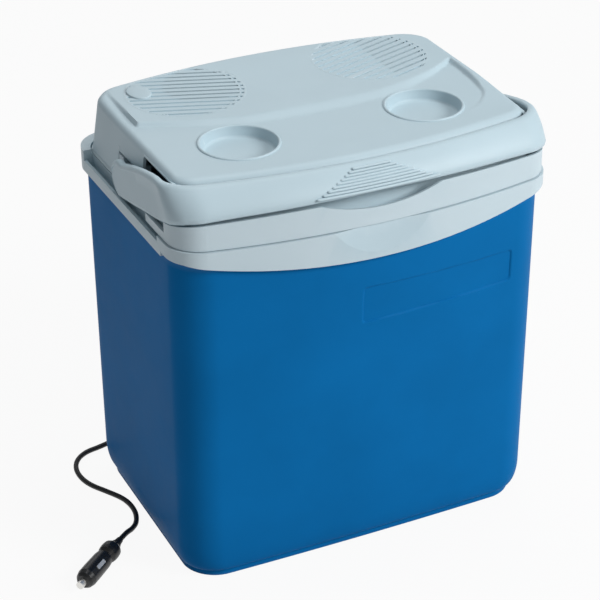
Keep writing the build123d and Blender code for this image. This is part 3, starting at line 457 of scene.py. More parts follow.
LID_FOOT_Z = 383.0
SIDE_CUTS = (-106.0, -30.0, -23.0, 32.0)       # the side opening and the bail's pocket, along Y


def lid_plan(share, inset, side_y, front_u, rear_u, corner_count=12):
    """The lid cover's outline a share of the way up, with samples at stated places along the sides."""
    share = np.atleast_1d(np.asarray(share, float))
    half = 190.5 + (185.2 - 190.5) * share - inset
    front = 147.0 + (130.4 - 147.0) * share - inset
    rear = 144.5 + (134.5 - 144.5) * share - inset
    radius = np.maximum(28.0 + (18.0 - 28.0) * share - inset, 5.0)
    rear_radius = np.maximum(28.0 + 0 * share - inset, 5.0)
    bow = 22.0 + 0 * share
    deep, middle = ((front + rear) / 2)[:, None], ((rear - front) / 2)[:, None]
    low, high = -deep + radius[:, None], deep - rear_radius[:, None]
    local = (side_y[None, :] - middle) / (1 - bow[:, None] / deep)
    places = 2 * (local - low) / (high - low) - 1
    places = np.concatenate([-1 + 0 * deep, places, 1 + 0 * deep], axis=1)
    return plan_loop(half, front, rear, bow, radius, front_u, places, rear_u, corner_count, rear_radius)


def filled_loop(loop, run_count, side_count, corner_count):
    """The inside of a closed plan outline as a grid, rows from front to rear: the sum of the blends
    between front and rear and between left and right, less the blend of the four corners."""
    right_start, rear_start = run_count - 1, run_count + 2 * corner_count + side_count
    front, rear = loop[:run_count], loop[rear_start:rear_start + run_count][::-1]
    right = loop[right_start:rear_start + 1]
    left = np.concatenate([loop[rear_start + run_count - 1:], loop[:1]])[::-1]
    u = (front[:, 0] - front[0, 0]) / (front[-1, 0] - front[0, 0])
    step = np.concatenate([[0.0], np.cumsum(np.linalg.norm(np.diff(right, axis=0), axis=1))])
    u, v = u[None, :, None], (step / step[-1])[:, None, None]
    across = (1 - u) * left[:, None] + u * right[:, None]
    along = (1 - v) * front[None] + v * rear[None]
    ends = ((1 - u) * (1 - v) * front[0] + u * (1 - v) * front[-1]
            + (1 - u) * v * rear[0] + u * v * rear[-1])
    return across + along - ends


def lid_skin(sizes):
    """Outer surface of the lid cover: rings from its foot up over the rim, and the field inside them.
    Cells are left out where the grilles, cups, side openings and pockets are."""
    side_y = samples((-86, -30, 31), (-30, -23, 4), (-23, 32, 36), (32, 76, 30))
    run_u, corner_count = samples((-1, -0.84, 22), (-0.84, 0.84, 121), (0.84, 1, 22)), 16
    rim_in = sizes.rim_round / MM
    top_loop = lid_plan(1.0, rim_in, side_y, run_u, run_u, corner_count)[0]
    height = lid_height(top_loop[:, 0], top_loop[:, 1], sizes)
    rise = np.concatenate([np.linspace(0, 0.098, 3), np.linspace(0.098, 0.59, 9)[1:],
                           np.linspace(0.59, 0.92, 7)[1:], [1.0]])
    wall_plan = lid_plan(rise * 0.9, 0.0, side_y, run_u, run_u, corner_count)
    wall_z = LID_FOOT_Z + rise[:, None] * (height[None, :] - rim_in - LID_FOOT_Z)
    wall = np.concatenate([wall_plan, wall_z[..., None]], axis=2)
    bend = np.linspace(0, pi / 2, 8)[1:]
    fillet_plan = wall_plan[-1] + (top_loop - wall_plan[-1]) * (1 - np.cos(bend))[:, None, None]
    fillet_z = height - rim_in + rim_in * np.sin(bend)[:, None]
    fillet = np.concatenate([fillet_plan, fillet_z[..., None]], axis=2)
    rings = np.concatenate([wall, fillet])
    cells = quads(rings.shape[0], rings.shape[1], False, True)
    middle = rings.reshape(-1, 3)[cells].mean(axis=2)
    y = middle[..., 1]
    row = np.arange(cells.shape[0])[:, None] + 0 * y
    on_side = (row < len(wall) - 1) & (np.abs(middle[..., 0]) > 180)
    vent = (y > SIDE_CUTS[0]) & (y < SIDE_CUTS[1]) & (row >= 2) & (row < len(rise) - 1)
    pocket = (y > SIDE_CUTS[2]) & (y < SIDE_CUTS[3]) & (row < 10)
    keep = ~(on_side & (vent | pocket))

    plan = filled_loop(top_loop, len(run_u), len(side_y) + 2, corner_count)
    field = np.concatenate([plan, lid_height(plan[..., 0], plan[..., 1], sizes)[..., None]], axis=2)
    cells = quads(field.shape[0], field.shape[1])
    middle = field.reshape(-1, 3)[cells].mean(axis=2)
    x, y = middle[..., 0], middle[..., 1]
    whole = np.ones(x.shape, bool)
    for side in (-1, 1):
        whole &= np.hypot(x - side * 99.0, y + 56.0) > sizes.cup_radius / MM + 1.4
    for centre_x in (-101.0, 104.0):
        whole &= np.hypot(x - centre_x, y - 71.0) > sizes.grille_radius / MM - 2.2
    return patch(rings, wrap_cols=True, keep=keep), patch(field, keep=whole)


def side_frame(side, low, high, corner, wall_x):
    """A moulded surround of a side opening: a flat flange and a short tube on a rounded rectangle."""
    turn = np.linspace(0, pi / 2, 9)
    mid_y, mid_z = (low[0] + high[0]) / 2, (low[1] + high[1]) / 2
    half_y, half_z = (high[0] - low[0]) / 2, (high[1] - low[1]) / 2
    rings = []
    profile = ((2.0, -1.5), (2.0, 0.15), (1.8, 0.3), (0.4, 0.3), (0.0, 0.0), (0.0, -3.0), (1.5, -3.0))
    for grow, depth in profile:
        r = corner + grow
        y = np.concatenate([half_y + grow - r + r * np.cos(turn), -(half_y + grow - r) - r * np.sin(turn),
                            -(half_y + grow - r) - r * np.cos(turn), half_y + grow - r + r * np.sin(turn)])
        z = np.concatenate([half_z + grow - r + r * np.sin(turn), half_z + grow - r + r * np.cos(turn),
                            -(half_z + grow - r) - r * np.sin(turn), -(half_z + grow - r) - r * np.cos(turn)])
        y, z = mid_y + y, mid_z + z
        x = side * (wall_x(z) + depth)
        rings.append(np.stack([x, y, z], axis=-1))
    return patch(np.asarray(rings), wrap_rows=True, wrap_cols=True)


def lid_side_x(z):
    """Half width of the lid's wall at a height."""
    return 190.5 - 5.3 * 0.9 * np.clip((z - LID_FOOT_Z) / 50.0, 0, 1)


def pocket_walls(side):
    """The recess in the lid's side that the bail's hub turns in: a back wall, two cheeks and a roof."""
    boxes = (((177.0, -25.0, 383.0), (179.5, 34.0, 417.0)), ((179.0, -25.0, 383.0), (187.6, -23.0, 416.5)),
             ((179.0, 32.0, 383.0), (187.6, 34.0, 416.5)), ((179.0, -24.5, 415.0), (187.2, 33.5, 417.0)))
    walls = []
    for low, high in boxes:
        ends = sorted((side * low[0], side * high[0]))
        walls.append(slab((ends[0], *low[1:]), (ends[1], *high[1:])))
    return walls


class COOLBOX_OT_lid_cover(bpy.types.Operator):
    """Makes the lid cover: tapered walls, rounded rim, raised rear field, pockets and side openings"""

    bl_idname = "coolbox.lid_cover"
    bl_label = "Lid cover"

    def execute(self, context):
        sizes = context.scene.cool_box_sizes
        grey = finishes()["grey_plastic"]
        cover = make_piece("lid_cover_shell", lid_skin(sizes), [grey], "lid",
                           ["lid_cover"], sharp=50.0, open_sheet=True)
        wall = cover.modifiers.new("wall", "SOLIDIFY")
        wall.thickness = 2.2 * MM
        wall.offset = -1.0
        trims = []
        for side in (-1, 1):
            low, high = (SIDE_CUTS[0] + 0.5, 388.0), (SIDE_CUTS[1] - 0.5, 431.6)
            trims.append(side_frame(side, low, high, 3.5, lid_side_x))
            trims += pocket_walls(side)
            boss = [(0.0, 191.0), (9.2, 191.0), (10.0, 190.4), (10.0, 179.0), (0.0, 179.0)]
            turned = revolve(boss, (0, 0, 0), axis="Y", count=48)
            p = turned[0]
            placed = np.stack([side * p[:, 1], 7.0 + p[:, 0], 393.5 + p[:, 2]], axis=-1)
            trims.append((placed, turned[1], 0))
        gland = [(5.1, 136.0), (5.1, 141.4), (5.6, 142.0), (8.4, 142.0), (9.0, 141.4), (9.0, 136.0)]
        ring = revolve(gland + gland[:1], (-60.0, 0, 397.0), axis="Y", count=48)
        trims.append(ring)
        make_piece("lid_cover_trims", trims, [grey], "lid")
        return {"FINISHED"}


# ---------------------------------------------------------------- cups and grilles
class COOLBOX_OT_cups(bpy.types.Operator):
    """Makes the two cup recesses with their rounded rims"""

    bl_idname = "coolbox.cups"
    bl_label = "Cup recesses"

    def execute(self, context):
        sizes = context.scene.cool_box_sizes
        r, deep, top = sizes.cup_radius / MM, sizes.cup_depth / MM, sizes.lid_rim / MM
        bend = np.linspace(0, pi / 2, 9)
        outer_round = np.stack([r + 1.6 + 1.7 * np.cos(bend), top - 0.3 + 1.7 * np.sin(bend)], axis=1)
        inner_round = np.stack([r + 1.6 - 1.7 * np.sin(bend), top - 0.3 + 1.7 * np.cos(bend)], axis=1)[1:]
        wall = np.array([(r - 0.4, top - 2.0), (r - 1.6, top - deep + 3.5)])
        foot = np.stack([r - 5.2 + 3.5 * np.cos(bend), top - deep + 3.5 - 3.5 * np.sin(bend)], axis=1)
        floor = np.array([(r * 0.6, top - deep - 0.02), (r * 0.3, top - deep - 0.03), (0.0, top - deep)])
        under = np.array([(0.0, top - deep - 2.4), (r - 1.0, top - deep - 2.4), (r + 1.6, top - deep),
                          (r + 1.8, top - 3.0), (r + 3.3, top - 2.6)])
        profile = np.concatenate([under, [(r + 3.4, top - 0.6)], outer_round, inner_round, wall, foot, floor])
        cups = [revolve(profile, (side * 99.0, -56.0, 0.0), count=160) for side in (-1, 1)]
        make_piece("cup_recesses", cups, [finishes()["grey_plastic"]], "lid", sharp=45.0)
        return {"FINISHED"}


# the grilles' slots, in mm: lip beside a slot, blank at its ends, short end dot, bar before it, depths
SLOT_LIP, SLOT_END, DOT_LENGTH, BAR_LENGTH = 0.45, 2.6, 2.6, 2.4
BLIND_DEPTH, OPEN_DEPTH, DOT_EXTRA, GRILLE_PROUD = 1.4, 2.8, 0.8, 0.12


def grille_disc(centre, radius, turn, sizes, open_centre, open_radius, open_from=None):
    """A ribbed round as rows along its slots. A point is centre + u*e1 + v*e2; each row runs between
    the circle's chord, cut off 1 mm inside the lid's bowed rear edge, and every slot is a trench that
    is shallow where blind and goes through where it is open."""
    e1, e2 = np.array([cos(turn), sin(turn)]), np.array([-sin(turn), cos(turn)])
    pitch, half_slot = sizes.slot_pitch / MM, sizes.slot_width / MM / 2
    count = int(radius // pitch)
    lines = np.arange(-count, count + 1) * pitch
    row_v, row_kind, row_end = [], [], []
    for v in lines:
        row_v += [v - half_slot - SLOT_LIP, v - half_slot, v - half_slot + 0.05, v, v + half_slot - 0.05,
                  v + half_slot, v + half_slot + SLOT_LIP]
        row_kind += [0, 0, 1, 1, 1, 0, 0]
        row_end += [0, 0, 0, 1.3, 0, 0, 0]
    v = np.concatenate([[-radius + 0.01, -radius + 1.2], row_v, [radius - 1.2, radius - 0.01]])
    kind = np.concatenate([[0, 0], row_kind, [0, 0]])
    tip = np.concatenate([[0, 0], row_end, [0, 0]])
    inside = np.abs(v) < radius
    v, kind, tip = v[inside], kind[inside], tip[inside]
    half_chord = np.sqrt(np.maximum(radius ** 2 - v ** 2, 0.0))
    # the rear edge y = edge - curve*x^2 cuts each row at the roots of a quadratic in u
    edge, curve = 134.5 - sizes.rim_round / MM - 1.0, 22.0 / 180.0 ** 2
    base = centre + v[:, None] * e2
    qa, qb = curve * e1[0] ** 2, e1[1] + 2 * curve * base[:, 0] * e1[0]
    qc = base[:, 1] + curve * base[:, 0] ** 2 - edge
    root = np.sqrt(np.maximum(qb ** 2 - 4 * qa * qc, 0.0))
    near, beyond = (-qb - root) / (2 * qa), (-qb + root) / (2 * qa)
    start, stop = np.maximum(-half_chord, near), np.minimum(half_chord, beyond)
    whole = stop - start > 1.0
    v, kind, tip, base, start, stop = (part[whole] for part in (v, kind, tip, base, start, stop))
    slot_a, slot_b = start + SLOT_END, stop - SLOT_END
    middle = (slot_a + slot_b) / 2
    shift = np.asarray(open_centre, float) - centre
    off_u, off_v = shift @ e1, shift @ e2
    reach = np.sqrt(np.maximum(open_radius ** 2 - (v - off_v) ** 2, 0.0))
    open_a, open_b = off_u - reach, off_u + reach
    if open_from is not None:
        open_a = np.maximum(open_a, (open_from - base[:, 0]) / e1[0])
    has_open = (reach > 3) & (open_b > open_a + 2)
    open_a = np.where(has_open, open_a, middle)
    open_b = np.where(has_open, open_b, middle)
    slot_a, slot_b = np.minimum(slot_a, middle), np.maximum(slot_b, middle)
    open_a, open_b = np.clip(open_a, slot_a, slot_b), np.clip(open_b, slot_a, slot_b)
    dot_a = np.maximum(slot_b - DOT_LENGTH, middle)
    bar = np.maximum(dot_a - BAR_LENGTH, middle)
    open_b = np.minimum(open_b, bar)
    open_a = np.minimum(open_a, open_b)
    bounds = np.stack([start, slot_a - tip, open_a, open_b, bar + tip * 0.6,
                       dot_a - tip * 0.5, slot_b + tip * 0.5, stop], axis=1)
    bounds = np.maximum.accumulate(bounds, axis=1)
    blind = np.full(v.shape, -BLIND_DEPTH)
    through = np.where(has_open, -OPEN_DEPTH, -BLIND_DEPTH)
    level = np.stack([0 * v, blind, through, blind, 0 * v, blind - DOT_EXTRA, 0 * v], axis=1)
    level = level * kind[:, None]
    u = np.stack([bounds[:, :-1], bounds[:, 1:]], axis=2).reshape(len(v), -1)
    depth = np.repeat(level, 2, axis=1)
    xy = base[:, None, :] + u[..., None] * e1
    z = sizes.lid_rim / MM + sizes.platform_rise / MM + GRILLE_PROUD + depth
    points = np.concatenate([xy, z[..., None]], axis=2)
    skirt = points[:, [0, -1]].copy()
    skirt[..., 2] -= OPEN_DEPTH
    points = np.concatenate([skirt[:, :1], points, skirt[:, 1:]], axis=1)
    cell_kind = (kind[:-1] == 1) & (kind[1:] == 1)
    keep = np.ones((points.shape[0] - 1, points.shape[1] - 1), bool)
    open_cells = cell_kind & has_open[:-1] & has_open[1:] & (open_b - open_a > 1)[:-1]
    keep[open_cells, 5] = False
    return patch(points, keep=keep)


class COOLBOX_OT_grilles(bpy.types.Operator):
    """Makes the two ribbed rounds with their open and blind slots, and the smooth pad on the left one"""

    bl_idname = "coolbox.grilles"
    bl_label = "Grilles"

    def execute(self, context):
        sizes = context.scene.cool_box_sizes
        radius, turn = sizes.grille_radius / MM, sizes.slot_turn
        left = grille_disc(np.array([-101.0, 71.0]), radius, -turn, sizes, (-79.0, 79.0), 41.0)
        right = grille_disc(
            np.array([104.0, 71.0]), radius, turn, sizes, (104.0, 71.0), 55.0, open_from=108.0)
        top = (sizes.lid_rim + sizes.platform_rise) / MM
        profile = [(0.0, top - 2.0), (17.2, top - 2.0), (17.2, top + 0.9), (16.6, top + 1.5),
                   (15.4, top + 1.7), (8.0, top + 1.9), (0.0, top + 1.95)]
        pad_x, pad_y, narrowing = -144.0, 88.0, 0.68
        pad = revolve(profile, (pad_x, pad_y, 0.0), count=96)
        pad[0][:, 0] = pad_x + (pad[0][:, 0] - pad_x) * narrowing
        grey = finishes()["grey_plastic"]
        make_piece("grille_rounds", [left, right], [grey], "lid",
                   sharp=30.0, open_sheet=True)
        make_piece("grille_pad", [pad], [grey], "lid", sharp=40.0)
        return {"FINISHED"}


# ---------------------------------------------------------------- carrying bail
BAIL_HALF, BAIL_BOW, BAIL_CORNER = 199.5, 22.0, 32.0
PIVOT_Y, PIVOT_Z, END_RADIUS = 7.0, 393.5, 19.5
# height of the lower and upper edge at distances from the arm's rear end
LOWER_EDGE = np.array([(15.1, 374.5), (51.5, 382.2), (77.5, 388.6), (103.5, 394.0), (127.5, 399.6),
                       (147.0, 404.2), (160.0, 406.8), (180.0, 408.7), (207.0, 409.6), (360.0, 411.9)])
UPPER_EDGE = np.array([(23.9, 412.3), (51.5, 421.6), (77.5, 428.0), (102.5, 432.8), (121.5, 435.6),
                       (150.0, 436.4), (360.0, 435.6)])
# around the section: inset on the arms, inset on the front bar, share of the height, rise in mm
BAIL_SECTION = np.array([
    (0.9, 3.4, 0.0, 1.2), (1.0, 1.4, 0.0, 3.4), (1.0, -0.3, 0.0, 6.6), (1.0, -1.4, 0.45, 0.0),
    (1.0, -1.7, 0.62, 0.0), (1.0, -1.0, 1.0, -5.6), (0.0, -0.5, 1.0, -4.4), (0.0, 0.0, 1.0, -2.8),
    (0.5, 0.8, 1.0, -1.3), (1.5, 2.0, 1.0, -0.4), (3.2, 3.6, 1.0, 0.0), (5.4, 5.4, 1.0, 0.0),
    (6.9, 6.9, 1.0, -0.5), (7.7, 7.7, 1.0, -1.4), (8.0, 8.0, 1.0, -3.0), (8.0, 8.0, 0.5, 0.0),
    (8.0, 8.6, 0.0, 2.5), (7.5, 8.2, 0.0, 0.8), (6.4, 7.4, 0.0, 0.1), (2.4, 6.0, 0.0, 0.0),
    (1.4, 4.8, 0.0, 0.3)])


def bail_reach(z):
    """How far forward the bail's middle stands at a height: it leans back towards the top."""
    return 163.5 + (142.0 - 163.5) * (np.maximum(z, 409.0) - 411.5) / 24.5


def bail_half_path(z, inset, front_t, corner_t, arm_t):
    """The bail's plan on the right, from the middle of its front round the corner to the arm's end.
    z and inset hold one value for each sample; the runs' places are front_t, corner_t and arm_t."""
    reach = bail_reach(z) - inset
    half, radius = BAIL_HALF - inset, BAIL_CORNER - inset
    f, c = len(front_t), len(corner_t)
    x, y = np.empty_like(z), np.empty_like(z)
    x[:, :f] = front_t * (half - radius)[:, :f]
    y[:, :f] = -reach[:, :f]
    x[:, f:f + c] = (half - radius)[:, f:f + c] + radius[:, f:f + c] * np.sin(corner_t)
    y[:, f:f + c] = -(reach - radius)[:, f:f + c] - radius[:, f:f + c] * np.cos(corner_t)
    bow = 1 - BAIL_BOW / reach * (x / half) ** 2
    y[:, :f + c] = (y * bow)[:, :f + c]
    start = (-(reach - radius) * (1 - BAIL_BOW / reach))[:, f + c:]
    x[:, f + c:] = half[:, f + c:]
    y[:, f + c:] = start + (PIVOT_Y + END_RADIUS - start) * arm_t
    return x, y


def grip_rib(left, right, z, radius, count=36):
    """A rib on the bail's front: a half-sunk rod that follows the bow, its ends rounded off."""
    t = 0.5 - 0.5 * np.cos(np.linspace(0, pi, count))
    x = left + (right - left) * t
    end = np.minimum(x - left, right - x)
    swell = radius * np.sqrt(np.clip(1 - (1 - np.minimum(end / (1.6 * radius), 1)) ** 2, 0, 1))
    reach = bail_reach(z)
    y = -reach * (1 - BAIL_BOW / reach * (x / BAIL_HALF) ** 2) - 1.6
    around = np.linspace(0, 2 * pi, 12, endpoint=False)
    up = np.array([0.0, 0.66, 0.75])
    out = np.array([0.0, -0.75, 0.66])
    spine = np.stack([x, y, z + 0 * x], axis=-1)[:, None, :]
    ring = out * np.cos(around)[:, None] * 0.9 + up * np.sin(around)[:, None]
    points = spine + swell[:, None, None] * ring[None]
    return patch(points, wrap_cols=True)


def hook(side):
    """The hook on the bail's hub: a piece of a ring that turns under the collar's ear."""
    angle = np.radians(np.linspace(50, 106, 13))
    section = np.array([(184.9, 10.8), (184.9, 13.6), (185.3, 14.0),
                        (192.5, 14.0), (192.5, 10.4), (185.3, 10.4)]) * (side, 1)
    y = PIVOT_Y + section[None, :, 1] * np.cos(angle)[:, None]
    z = PIVOT_Z + section[None, :, 1] * np.sin(angle)[:, None]
    points = np.stack([section[None, :, 0] + 0 * y, y, z], axis=-1)
    ends = [points[:1].mean(axis=1, keepdims=True) + 0 * points[:1],
            points[-1:].mean(axis=1, keepdims=True) + 0 * points[:1]]
    return patch(np.concatenate([ends[0], points, ends[1]]), wrap_cols=True)


class COOLBOX_OT_bail(bpy.types.Operator):
    """Makes the carrying bail with its rolled edge, flat round ends, hooks and the ribs of its grip"""

    bl_idname = "coolbox.bail"
    bl_label = "Carrying bail"

    def execute(self, context):
        sizes = context.scene.cool_box_sizes
        front_t, corner_t = np.linspace(0, 1, 40), np.linspace(0, pi / 2, 16)[1:-1]
        arm_t = np.concatenate([np.linspace(0, 0.8, 30), 0.8 + 0.2 * np.sin(np.linspace(0, pi / 2, 22))[1:]])
        count = len(front_t) + len(corner_t) + len(arm_t)
        flat_z = np.full((1, count), 423.0)
        x, y = bail_half_path(flat_z, 0 * flat_z, front_t, corner_t, arm_t)
        step = np.hypot(np.diff(x[0]), np.diff(y[0]))
        travel = np.concatenate([np.cumsum(step[::-1])[::-1], [0.0]])
        chord = np.sqrt(np.maximum(END_RADIUS ** 2 - (y[0] - PIVOT_Y) ** 2, 0.0))
        low = np.where(travel < LOWER_EDGE[0, 0], PIVOT_Z - chord, np.interp(travel, *LOWER_EDGE.T))
        high = np.where(travel < UPPER_EDGE[0, 0], PIVOT_Z + chord, np.interp(travel, *UPPER_EDGE.T))
        section = BAIL_SECTION.copy()
        section[:, :2] *= sizes.bail_wall / MM / 8.0
        fit = np.minimum(1.0, (high - low) / 12.0)[None, :]
        z = low[None, :] + section[:, 2:3] * (high - low)[None, :] + section[:, 3:4] * fit
        bar = ease((travel - 105.0) / 50.0)[None, :]
        inset = section[:, 0:1] * (1 - bar) + section[:, 1:2] * bar
        inset = 4.0 + (inset - 4.0) * np.clip(fit * 3, 0, 1)
        x, y = bail_half_path(z, inset, front_t, corner_t, arm_t)
        right = np.stack([x, y, z], axis=-1).transpose(1, 0, 2)
        left = right[::-1].copy()
        left[..., 0] *= -1
        body = patch(np.concatenate([left[:-1], right]), wrap_cols=True)
        ribs = []
        for k in range(sizes.rib_count):
            share = k / max(sizes.rib_count - 1, 1)
            ribs.append(grip_rib(-67 + 42 * share ** 0.9, 61 - 45 * share ** 0.9, 415.6 + 17.6 * share, 1.35))
        parts = [body] + ribs + [hook(side) for side in (-1, 1)]
        make_piece("carrying_bail", parts, [finishes()["grey_plastic"]], "bail", ["bail"],
                   sharp=38.0)
        return {"FINISHED"}


# ---------------------------------------------------------------- lead
GLAND_RUN = [(-60, 156.489, 393.118), (-60, 175.807, 387.941), (-60.5, 193.5, 374), (-60, 202, 350),
             (-60.5, 199.5, 317)]
FALL_RUN = [(-61, 197, 284), (-65, 186, 228), (-66, 178, 170), (-61, 178, 114), (-51, 188, 64),
            (-34, 202, 28), (-10, 207.5, 8), (13, 205, 3.2), (36, 205, 3.2)]
FLOOR_RUN = [(36, 267, 3.2), (13, 267, 3.2), (-13, 257, 3.2), (-38, 237, 3.2), (-66, 212, 3.2),
             (-97, 188.5, 3.2), (-130, 171, 3.2), (-160, 154, 3.2), (-188, 145, 3.2), (-210, 141.5, 3.2),
             (-225.5, 127, 3.2), (-231, 105, 3.2), (-227, 81, 3.2), (-213, 58.5, 3.2), (-201, 37, 3.2),
             (-199, 13, 3.2), (-205.5, -8, 3.6), (-216.5, -21.5, 6.6), (-225.5, -29.6, 10.8),
             (-236, -38.7, 10.8)]
COIL_CENTRE, COIL_RADIUS, COIL_TURNS, TURN_POINTS = (62.0, 236.0), 31.0, 4.5, 14


def coil_run():
    """The stored part of the lead: turns side by side and on each other. The inner turns climb three
    high, and the outer ones come back down to the floor."""
    count = int(COIL_TURNS * TURN_POINTS)
    turn = np.arange(1, count) / TURN_POINTS
    angle = -pi / 2 + 2 * pi * turn
    radius = np.interp(turn, [0, 0.3, 2.7, 3.1, 4.1, 4.5], [31.0, 28.4, 28.6, 33.6, 33.6, 31.0])
    height = np.interp(turn, [0, 0.85, 1.15, 1.85, 2.15, 2.7, 3.1, 3.6, 4.0, 4.5],
                       [3.2, 3.2, 8.6, 8.6, 12.6, 12.6, 8.8, 8.6, 3.4, 3.2])
    x = COIL_CENTRE[0] + radius * np.cos(angle)
    y = COIL_CENTRE[1] + radius * np.sin(angle)
    ends = [(COIL_CENTRE[0], COIL_CENTRE[1] + step, 3.2) for step in (-COIL_RADIUS, COIL_RADIUS)]
    return [ends[0]] + list(zip(x, y, height)) + [ends[1]]


def coil_tie(angle):
    """A flat band closed round the coil's section at an angle of the coil."""
    around = np.linspace(0, 2 * pi, 28, endpoint=False)
    reach = np.stack([np.sign(np.cos(around)) * np.abs(np.cos(around)) ** 0.45 * 6.0,
                      np.sign(np.sin(around)) * np.abs(np.sin(around)) ** 0.45 * 7.9], axis=1)
    rings = []
    for offset, grow in ((-3.0, 0.0), (-2.7, 0.8), (2.7, 0.8), (3.0, 0.0), (2.7, -0.05), (-2.7, -0.05)):
        r = COIL_RADIUS + reach[:, 0] * (1 + grow / 6.0)
        height = 8.75 + reach[:, 1] * (1 + grow / 12.0)
        swing = angle + offset / COIL_RADIUS
        x, y = COIL_CENTRE[0] + r * cos(swing), COIL_CENTRE[1] + r * sin(swing)
        rings.append(np.stack([x, y, height], axis=1))
    return patch(np.asarray(rings), wrap_rows=True, wrap_cols=True)


class COOLBOX_OT_lead(bpy.types.Operator):
    """Makes the lead as one smooth tube from the lid's gland to the plug, and ties its coil"""

    bl_idname = "coolbox.lead"
    bl_label = "Lead"

    def execute(self, context):
        sizes = context.scene.cool_box_sizes
        places = GLAND_RUN + FALL_RUN + coil_run() + FLOOR_RUN
        curve = bpy.data.curves.new("lead_line", "CURVE")
        curve.dimensions = "3D"
        curve.resolution_u = 6
        spline = curve.splines.new("NURBS")
        spline.points.add(len(places) - 1)
        flat = np.column_stack([np.asarray(places, float) * MM, np.ones(len(places))])
        spline.points.foreach_set("co", flat.ravel())
        spline.order_u = 3
        spline.use_endpoint_u = True
        line = bpy.data.objects.new("lead_line", curve)
        context.scene.collection.objects.link(line)
        bare = bpy.data.meshes.new_from_object(line)
        curve.bevel_depth = sizes.lead_width / 2
        curve.bevel_resolution = 4
        curve.use_fill_caps = True
        view = context.evaluated_depsgraph_get()
        view.update()
        tube = bpy.data.meshes.new_from_object(line.evaluated_get(view))
        tube.name = "lead"
        bpy.data.objects.remove(line)
        tube.materials.clear()
        tube.materials.append(finishes()["black_rubber"])
        tube.shade_smooth()
        lead = bpy.data.objects.new("lead", tube)
        context.scene.collection.objects.link(lead)
        ties = make_piece("coil_ties", [coil_tie(0.35), coil_tie(pi + 0.35)],
                          [finishes()["black_rubber"]], "tub")
        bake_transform(lead)
        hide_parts("cord_top", "cord_fall", "cord_coil", "cord_floor")
        return {"FINISHED"}


# ---------------------------------------------------------------- carried-over pieces
class COOLBOX_OT_fittings(bpy.types.Operator):
    """Gives every piece that keeps its own shape its finish"""

    bl_idname = "coolbox.fittings"
    bl_label = "Fittings"

    def execute(self, context):
        looks = finishes()
        slots = {row["node"]: row["material_slot"] for row in frame["record"]["subparts"]}
        for name, part in frame["nodes"].items():
            if part.data.materials:
                part.data.materials[0] = looks[slots[name]]
            else:
                part.data.materials.append(looks[slots[name]])
        return {"FINISHED"}


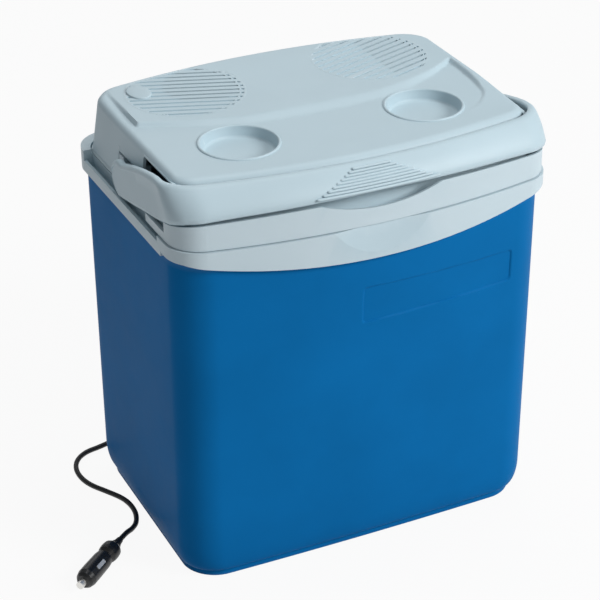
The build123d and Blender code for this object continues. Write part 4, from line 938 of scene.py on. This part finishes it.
# ---------------------------------------------------------------- studio
class COOLBOX_OT_studio(bpy.types.Operator):
    """Makes the plain pale floor, the soft lights and the camera"""

    bl_idname = "coolbox.studio"
    bl_label = "Studio"

    def execute(self, context):
        scene = context.scene
        floor_mesh = bpy.data.meshes.new("floor")
        reach = 6.0
        corners = [(-reach, -reach, 0), (reach, -reach, 0), (reach, reach, 0), (-reach, reach, 0)]
        floor_mesh.from_pydata(corners, [], [(0, 1, 2, 3)])
        floor = bpy.data.objects.new("floor", floor_mesh)
        scene.collection.objects.link(floor)
        look = bpy.data.materials.new("pale_floor")
        look.use_nodes = True
        tree = look.node_tree
        tree.nodes.clear()
        out = tree.nodes.new("ShaderNodeOutputMaterial")
        cloth = tree.nodes.new("ShaderNodeBsdfDiffuse")
        cloth.inputs["Color"].default_value = (0.66, 0.66, 0.66, 1.0)
        glow = tree.nodes.new("ShaderNodeEmission")
        glow.inputs["Strength"].default_value = 1.0
        ray = tree.nodes.new("ShaderNodeLightPath")
        seen = tree.nodes.new("ShaderNodeMath")
        seen.operation = "MAXIMUM"
        seen_too = tree.nodes.new("ShaderNodeMath")
        seen_too.operation = "MAXIMUM"
        share = tree.nodes.new("ShaderNodeMath")
        share.operation = "MULTIPLY"
        share.inputs[1].default_value = 0.93
        mix = tree.nodes.new("ShaderNodeMixShader")
        link = tree.links.new
        link(ray.outputs["Is Camera Ray"], seen.inputs[0])
        link(ray.outputs["Is Glossy Ray"], seen.inputs[1])
        link(seen.outputs[0], seen_too.inputs[0])
        link(ray.outputs["Is Transmission Ray"], seen_too.inputs[1])
        link(seen_too.outputs[0], share.inputs[0])
        link(share.outputs[0], mix.inputs["Fac"])
        link(cloth.outputs[0], mix.inputs[1])
        link(glow.outputs[0], mix.inputs[2])
        link(mix.outputs[0], out.inputs["Surface"])
        floor_mesh.materials.append(look)

        world = bpy.data.worlds.new("studio")
        scene.world = world
        world.use_nodes = True
        tree = world.node_tree
        tree.nodes.clear()
        link = tree.links.new
        out = tree.nodes.new("ShaderNodeOutputWorld")
        ambient = tree.nodes.new("ShaderNodeBackground")
        ambient.inputs["Color"].default_value = (0.93, 0.96, 1.0, 1.0)
        ambient.inputs["Strength"].default_value = 0.27
        white = tree.nodes.new("ShaderNodeBackground")
        white.inputs["Strength"].default_value = 1.0
        ray = tree.nodes.new("ShaderNodeLightPath")
        seen = tree.nodes.new("ShaderNodeMath")
        seen.operation = "MAXIMUM"
        mix = tree.nodes.new("ShaderNodeMixShader")
        link(ray.outputs["Is Camera Ray"], seen.inputs[0])
        link(ray.outputs["Is Transmission Ray"], seen.inputs[1])
        link(seen.outputs[0], mix.inputs["Fac"])
        link(ambient.outputs[0], mix.inputs[1])
        link(white.outputs[0], mix.inputs[2])
        link(mix.outputs[0], out.inputs["Surface"])

        lamps = (("key", (1.7, -2.3, 2.0), 1.3, 77.0), ("fill", (-2.6, -1.4, 1.5), 2.0, 1.0),
                 ("top", (0.5, 0.5, 2.8), 1.4, 19.0), ("back", (0.6, 2.8, 1.6), 2.0, 8.0))
        aim = Vector((0.0, 0.0, 0.25))
        for name, place, size, power in lamps:
            lamp = bpy.data.lights.new(name, "AREA")
            lamp.shape = "DISK"
            lamp.size = size
            lamp.energy = power
            holder = bpy.data.objects.new(name, lamp)
            holder.location = place
            holder.rotation_euler = (aim - Vector(place)).to_track_quat("-Z", "Y").to_euler()
            scene.collection.objects.link(holder)

        lens = bpy.data.cameras.new("camera")
        lens.lens = 119.65
        lens.sensor_width = 36.0
        lens.shift_x, lens.shift_y = -0.0154, -0.01315
        forward = Vector((0.3761, 0.79, -0.4841)).normalized()
        level = forward.cross(Vector((0, 0, 1))).normalized()
        above = level.cross(forward)
        roll = -0.0066363
        right = level * cos(roll) + above * sin(roll)
        up = right.cross(forward)
        turn = Matrix((right, up, -forward)).transposed()
        camera = bpy.data.objects.new("camera", lens)
        camera.matrix_world = Matrix.Translation((-0.77714, -1.63229, 1.22516)) @ turn.to_4x4()
        scene.collection.objects.link(camera)
        scene.camera = camera
        scene.view_settings.view_transform = "Standard"
        return {"FINISHED"}


class COOLBOX_PT_panel(bpy.types.Panel):
    """Lists the cool box's pieces, sizes and colours"""

    bl_idname = "COOLBOX_PT_panel"
    bl_label = "Cool Box"
    bl_space_type = "VIEW_3D"
    bl_region_type = "UI"
    bl_category = "Cool Box"

    def draw(self, context):
        for operator in OPERATORS:
            self.layout.operator(operator.bl_idname)
        for group in (context.scene.cool_box_sizes, context.scene.cool_box_colours):
            box = self.layout.box()
            for name in group.__annotations__:
                box.prop(group, name)


OPERATORS = (
    COOLBOX_OT_studio, COOLBOX_OT_fittings, COOLBOX_OT_lead, COOLBOX_OT_tub, COOLBOX_OT_lid_cover,
    COOLBOX_OT_cups, COOLBOX_OT_grilles, COOLBOX_OT_bail,
)
CLASSES = (CoolBoxSizes, CoolBoxColours) + OPERATORS + (COOLBOX_PT_panel,)


def register():
    """Adds the classes and the scene's settings."""
    for cls in CLASSES:
        bpy.utils.register_class(cls)
    bpy.types.Scene.cool_box_sizes = PointerProperty(type=CoolBoxSizes)
    bpy.types.Scene.cool_box_colours = PointerProperty(type=CoolBoxColours)


def unregister():
    """Takes away what register added."""
    del bpy.types.Scene.cool_box_colours
    del bpy.types.Scene.cool_box_sizes
    for cls in reversed(CLASSES):
        bpy.utils.unregister_class(cls)


def main():
    register()
    for operator in OPERATORS:
        group, name = operator.bl_idname.split(".")
        getattr(getattr(bpy.ops, group), name)()


if __name__ == "__main__":
    main()
